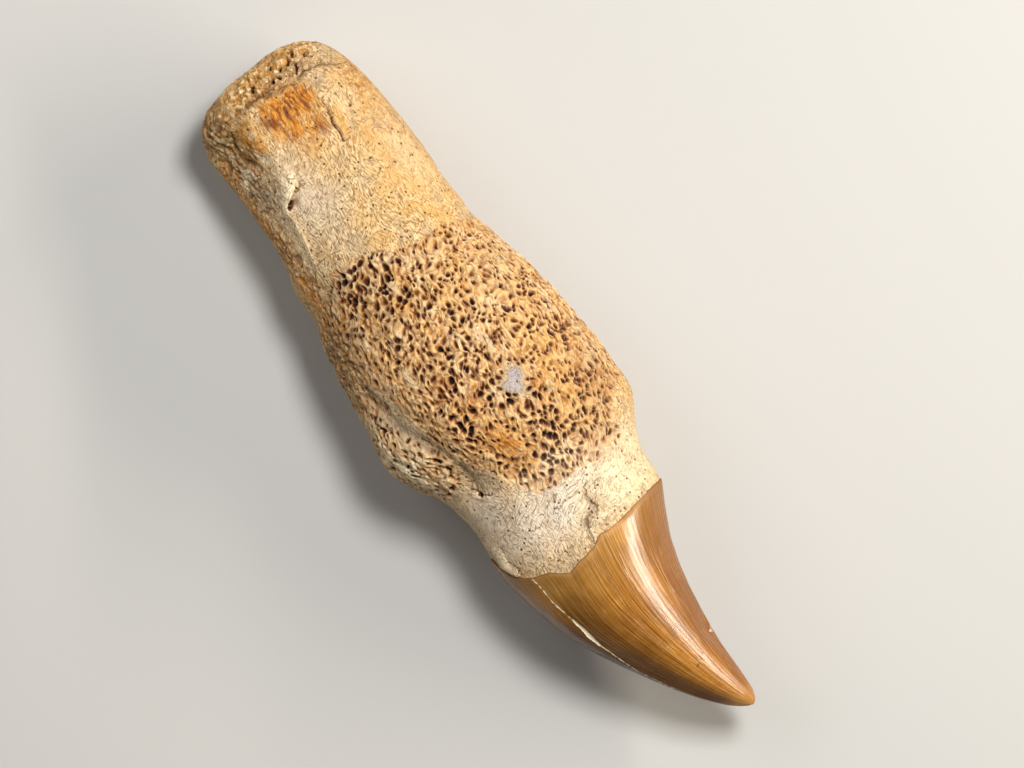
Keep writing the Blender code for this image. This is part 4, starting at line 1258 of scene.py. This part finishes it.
def enamel_material(settings):
    """Fossil enamel: a satin amber-brown glaze with fine pale striations, and a cream-filled crack."""
    material, shader = new_material("fossil_enamel", {"IOR": 1.55, "Specular IOR Level": 0.3})
    tree = material.node_tree
    flow = put(tree, "ShaderNodeAttribute", attribute_name="flow").outputs["Vector"]
    skin = put(tree, "ShaderNodeAttribute", attribute_name="skin").outputs["Vector"]
    along, crack, hairline = (
        put(tree, "ShaderNodeAttribute", attribute_name=name).outputs["Fac"]
        for name in ("along", "crack", "hairline")
    )
    # Streaks down the crown, with faint rings across them
    across = put(tree, "ShaderNodeVectorMath", flow, (0.2, 0.2, RINGS), operation="MULTIPLY")
    soft, fine, rings, cloud, chips = (
        put(tree, "ShaderNodeTexNoise", inputs={"Vector": vector, "Scale": 1 / size, "Detail": detail})
        for vector, size, detail in (
            (flow, SOFT_STRIA, 2.0), (flow, FINE_STRIA, 1.0), (across, 1.0, 1.0), (skin, CLOUD, 3.0),
            (skin, CHIP, 2.0),
        )
    )
    streak = put(tree, "ShaderNodeMath", soft, 0.2, operation="MULTIPLY")
    for pattern, share in ((rings, 0.15), (fine, 0.65)):
        streak = put(tree, "ShaderNodeMath", pattern, share, streak, operation="MULTIPLY_ADD")
    colour = toned(tree, streak, 0.38, 0.62, ("#77420C", settings.enamel_colour, "#C88935"))
    for size, most in PALE_STRIAE:
        stria = threads(tree, flow, size, 0.0, 0.04)
        colour = layered(tree, colour, ("#E2B470", stria, most))

    # Lighter towards the margin, lighter at the tip as wear and painted highlight, painted shade down both
    # flanks, and darker in clouds
    side = put(tree, "ShaderNodeSeparateXYZ", flow).outputs[0]
    deeper = put(tree, "ShaderNodeMapRange", along, 0.15, 0.5, 0.45, 1.0)
    left_flank_shade = put(tree, "ShaderNodeMapRange", side, 0.0, -11.0, **SMOOTH)
    shaded = put(tree, "ShaderNodeMath", left_flank_shade, deeper, operation="MULTIPLY")
    chipped = put(tree, "ShaderNodeMath", chips, 0.3, crack, operation="MULTIPLY_ADD")
    filled = put(tree, "ShaderNodeMapRange", chipped, 0.11, 0.18, **SMOOTH)
    colour = layered(
        tree, colour,
        ("#CC9A50", put(tree, "ShaderNodeMapRange", along, 0.35, 0.0, **SMOOTH), 0.5),
        ("#6A3C0C", put(tree, "ShaderNodeMapRange", cloud, 0.42, 0.62, **SMOOTH), 0.35),
        # Painted shade down the left flank
        ("#3A1C02", shaded, 0.8),
        # Painted shade down the right flank
        ("#7A4610", put(tree, "ShaderNodeMapRange", side, 5.0, 13.0, **SMOOTH), 0.7),
        # The tip lighter: partly wear, partly painted highlight
        ("#C88E45", put(tree, "ShaderNodeMapRange", along, 0.88, 0.99, **SMOOTH), 0.6),
        ("#FBEBCB", filled, 1.0),
        ("#5A3612", put(tree, "ShaderNodeMapRange", hairline, -0.04, 0.02, **SMOOTH), 1.0),
        ("#6E4420", put(tree, "ShaderNodeMapRange", along, 0.005, 0.0, **SMOOTH), 0.7),
    )

    # Glossy, but dull in the crack and on the broken edge
    raised = put(tree, "ShaderNodeMath", stria, 0.012, operation="MULTIPLY")
    relief = put(tree, "ShaderNodeMath", streak, 0.016, raised, operation="MULTIPLY_ADD")
    bump = put(tree, "ShaderNodeBump", inputs={"Strength": 1.0, "Distance": MM, "Height": relief})
    gloss = put(tree, "ShaderNodeMapRange", fine, 0.35, 0.65, 0.22, 0.3)
    broken = put(tree, "ShaderNodeMapRange", along, 0.03, 0.01, **SMOOTH)
    dull = put(tree, "ShaderNodeMath", filled, broken, operation="MAXIMUM")
    matt = put(tree, "ShaderNodeMath", dull, 0.45, gloss, operation="MULTIPLY_ADD")
    link(shader, Base_Color=colour, Normal=bump.outputs[0], Roughness=matt.outputs[0])
    return material


def floor_material(settings):
    """Matt white card: even and pale, with no sheen."""
    sockets = {"Base Color": settings.floor_colour, "Roughness": 0.9, "Specular IOR Level": 0.2}
    return new_material("white_card", sockets)[0]


# ---------------------------------------------------------------- the add-on


class BoneSettings(bpy.types.PropertyGroup):
    """The bone's relief and colours."""

    pore_depth: bpy.props.FloatProperty(
        name="Pore depth", description="How deep the pores are pressed, in mm",
        default=BONE_SIZES["Pore Depth"], min=0.0)
    grain_height: bpy.props.FloatProperty(
        name="Grain height", description="How rough the compact bone is, in mm",
        default=BONE_SIZES["Grain Height"], min=0.0)
    crust_depth: bpy.props.FloatProperty(
        name="Crust depth", description="How deep the crumbly crust's pits are, in mm",
        default=BONE_SIZES["Crust Depth"], min=0.0)
    seed: bpy.props.FloatProperty(
        name="Seed", description="Moves the pattern of pores", default=BONE_SIZES["Seed"])
    bone_colour: bpy.props.FloatVectorProperty(
        name="Bone colour", description="The compact bone's middle tone", size=4, subtype="COLOR",
        default=linear("#D2AC73"))
    # The near-black painted shade deep in the pores
    pore_shade_colour: bpy.props.FloatVectorProperty(
        name="Pore colour", description="The colour deep in the pores", size=4, subtype="COLOR",
        default=linear("#170903"))


class CrownSettings(bpy.types.PropertyGroup):
    """The crown's ridges and colour."""

    ridge_height: bpy.props.FloatProperty(
        name="Ridge height", description="How high the enamel's fine ridges are, in mm",
        default=CROWN_SIZES["Ridge Height"], min=0.0)
    ridge_pitch: bpy.props.FloatProperty(
        name="Ridge pitch", description="How far apart the ridges are at the margin, in mm",
        default=CROWN_SIZES["Ridge Pitch"], min=0.1)
    enamel_colour: bpy.props.FloatVectorProperty(
        name="Enamel colour", description="The enamel's middle tone", size=4, subtype="COLOR",
        default=linear("#A6681A"))


class StageSettings(bpy.types.PropertyGroup):
    """The floor, the lights and the camera."""

    floor_size: bpy.props.FloatProperty(
        name="Floor size", description="How wide the floor is", default=3.0, min=0.5, unit="LENGTH")
    floor_colour: bpy.props.FloatVectorProperty(
        name="Floor colour", description="The floor's colour", size=4, subtype="COLOR",
        default=linear("#C2C0BC"))
    key_power: bpy.props.FloatProperty(
        name="Key light", description="The key light's power", default=3.7, min=0.0, unit="POWER")
    rake_power: bpy.props.FloatProperty(
        name="Raking light", description="The low side light's power", default=2.2, min=0.0, unit="POWER")
    strip_power: bpy.props.FloatProperty(
        name="Strip light", description="The power of the strip that the glaze reflects",
        default=8.6, min=0.0, unit="POWER")
    fill_power: bpy.props.FloatProperty(
        name="Fill light", description="The fill light's power", default=1.8, min=0.0, unit="POWER")
    lens: bpy.props.FloatProperty(
        name="Lens", description="The camera's focal length in mm", default=200.0, min=20.0)


class FOSSIL_OT_bone(bpy.types.Operator):
    """Make the spongy bone that carries the tooth"""

    bl_idname = "fossil.bone"
    bl_label = "Make bone"

    def execute(self, context):
        settings = context.scene.fossil_bone
        piece = grown("worn_bone", bone_mesh(Caster()), bone_tree(), {
            "Pore Depth": settings.pore_depth,
            "Grain Height": settings.grain_height,
            "Crust Depth": settings.crust_depth,
            "Seed": settings.seed,
            "Material": bone_material(settings),
        })
        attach(piece, "root")
        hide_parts(BONE)
        return {"FINISHED"}


class FOSSIL_OT_crown(bpy.types.Operator):
    """Make the tooth's enamelled crown"""

    bl_idname = "fossil.crown"
    bl_label = "Make crown"

    def execute(self, context):
        settings = context.scene.fossil_crown
        piece = grown("enamel_crown", crown_mesh(Caster()), crown_tree(), {
            "Ridge Height": settings.ridge_height,
            "Ridge Pitch": settings.ridge_pitch,
            "Material": enamel_material(settings),
        })
        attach(piece, "root")
        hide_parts(CROWN)
        return {"FINISHED"}


# The camera's right and up in plan: the specimen lies askew in its view
VIEW_RIGHT = Vector((0.631, 0.776, 0.0))
VIEW_UP = Vector((-0.776, 0.631, 0.0))
# The stage, in metres
FLOOR_DROP = 0.0002  # the floor lies just below what rests on it
LIT_PLACE = (0, 0, 0.015)
# Each light's place, as its distance to the camera's right, to its top and above the floor, its size, and
# its colour. The rake and the strip share a place: the one lights the bone, the glaze reflects the other.
LIGHTS = {
    "key": ((0.14, 0.2, 0.6), (0.14, 0.18), "#FFFFFF"),
    "rake": ((0.44, 0.1, 0.27), (0.04, 0.5), "#FFF6E6"),
    "strip": ((0.44, 0.1, 0.27), (0.08, 0.5), "#FFF8EE"),
    "fill": ((-0.5, 0.3, 0.6), (0.5, 0.5), "#FFFFFF"),
}
ROOM_COLOUR = (1.0, 0.97, 0.93, 1.0)
ROOM_STRENGTH = 0.06


def aimed(obj, place, at, up):
    """Puts a light or the camera at a place, in metres, looking at a point with its top towards up."""
    back = (Vector(place) - Vector(at)).normalized()
    right = Vector(up).cross(back).normalized()
    turn = Matrix((right, back.cross(right), back)).transposed()
    obj.matrix_world = Matrix.Translation(place) @ turn.to_4x4()


def make_floor(settings):
    """A square of pale card under the fossil."""
    half = settings.floor_size / 2
    mesh = bpy.data.meshes.new("floor")
    corners = [(-half, -half, 0), (half, -half, 0), (half, half, 0), (-half, half, 0)]
    mesh.from_pydata(corners, [], [(0, 1, 2, 3)])
    mesh.materials.append(floor_material(settings))
    floor = linked("floor", mesh)
    floor.location.z = -FLOOR_DROP


def make_lights(settings):
    """Soft studio lights, and a faint room round them."""
    world = bpy.data.worlds.new("studio")
    world.use_nodes = True
    room = world.node_tree.nodes["Background"].inputs
    room["Color"].default_value = ROOM_COLOUR
    room["Strength"].default_value = ROOM_STRENGTH
    bpy.context.scene.world = world
    for name, ((right, up, above), size, colour) in LIGHTS.items():
        light = bpy.data.lights.new(name, "AREA")
        light.shape = "RECTANGLE"
        light.size, light.size_y = size
        light.energy = getattr(settings, name + "_power")
        light.color = linear(colour)[:3]
        lamp = linked(name, light)
        lamp.visible_diffuse = name != "strip"
        lamp.visible_glossy = name != "rake"
        aimed(lamp, VIEW_RIGHT * right + VIEW_UP * up + Vector((0, 0, above)), LIT_PLACE, VIEW_UP)


def make_camera(settings):
    """A camera that looks straight down on the fossil."""
    camera = bpy.data.cameras.new("camera")
    camera.lens = settings.lens
    camera.sensor_width = 36.0
    camera.clip_start, camera.clip_end = 0.01, 10.0
    eye = linked("camera", camera)
    foot = Vector((*CAMERA_FOOT, 0.0)) * MM
    aimed(eye, foot + Vector((0, 0, CAMERA_HEIGHT * MM)), foot, VIEW_UP)
    bpy.context.scene.camera = eye


class FOSSIL_OT_stage(bpy.types.Operator):
    """Set up the floor, the lights and the camera"""

    bl_idname = "fossil.stage"
    bl_label = "Set stage"

    def execute(self, context):
        context.scene.view_settings.view_transform = "Standard"
        settings = context.scene.fossil_stage
        make_floor(settings)
        make_lights(settings)
        make_camera(settings)
        return {"FINISHED"}


# The steps in order: each operator with the scene's name for its settings
STEPS = (
    (FOSSIL_OT_bone, "fossil_bone", BoneSettings),
    (FOSSIL_OT_crown, "fossil_crown", CrownSettings),
    (FOSSIL_OT_stage, "fossil_stage", StageSettings),
)


class FOSSIL_PT_panel(bpy.types.Panel):
    """The steps, in order, and their settings"""

    bl_idname = "FOSSIL_PT_panel"
    bl_label = "Fossil tooth"
    bl_space_type = "VIEW_3D"
    bl_region_type = "UI"
    bl_category = "Fossil"

    def draw(self, context):
        for operator, group, _ in STEPS:
            box = self.layout.box()
            box.operator(operator.bl_idname)
            settings = getattr(context.scene, group)
            for name in settings.__annotations__:
                box.prop(settings, name)


def register():
    """Registers the operators, their settings and the panel."""
    for operator, group, settings in STEPS:
        bpy.utils.register_class(settings)
        bpy.utils.register_class(operator)
        setattr(bpy.types.Scene, group, bpy.props.PointerProperty(type=settings))
    bpy.utils.register_class(FOSSIL_PT_panel)


def unregister():
    """Takes them away again."""
    bpy.utils.unregister_class(FOSSIL_PT_panel)
    for operator, group, settings in reversed(STEPS):
        delattr(bpy.types.Scene, group)
        bpy.utils.unregister_class(operator)
        bpy.utils.unregister_class(settings)


def main():
    """Makes the pieces and the stage."""
    register()
    bpy.ops.fossil.bone()
    bpy.ops.fossil.crown()
    bpy.ops.fossil.stage()


if __name__ == "__main__":
    main()
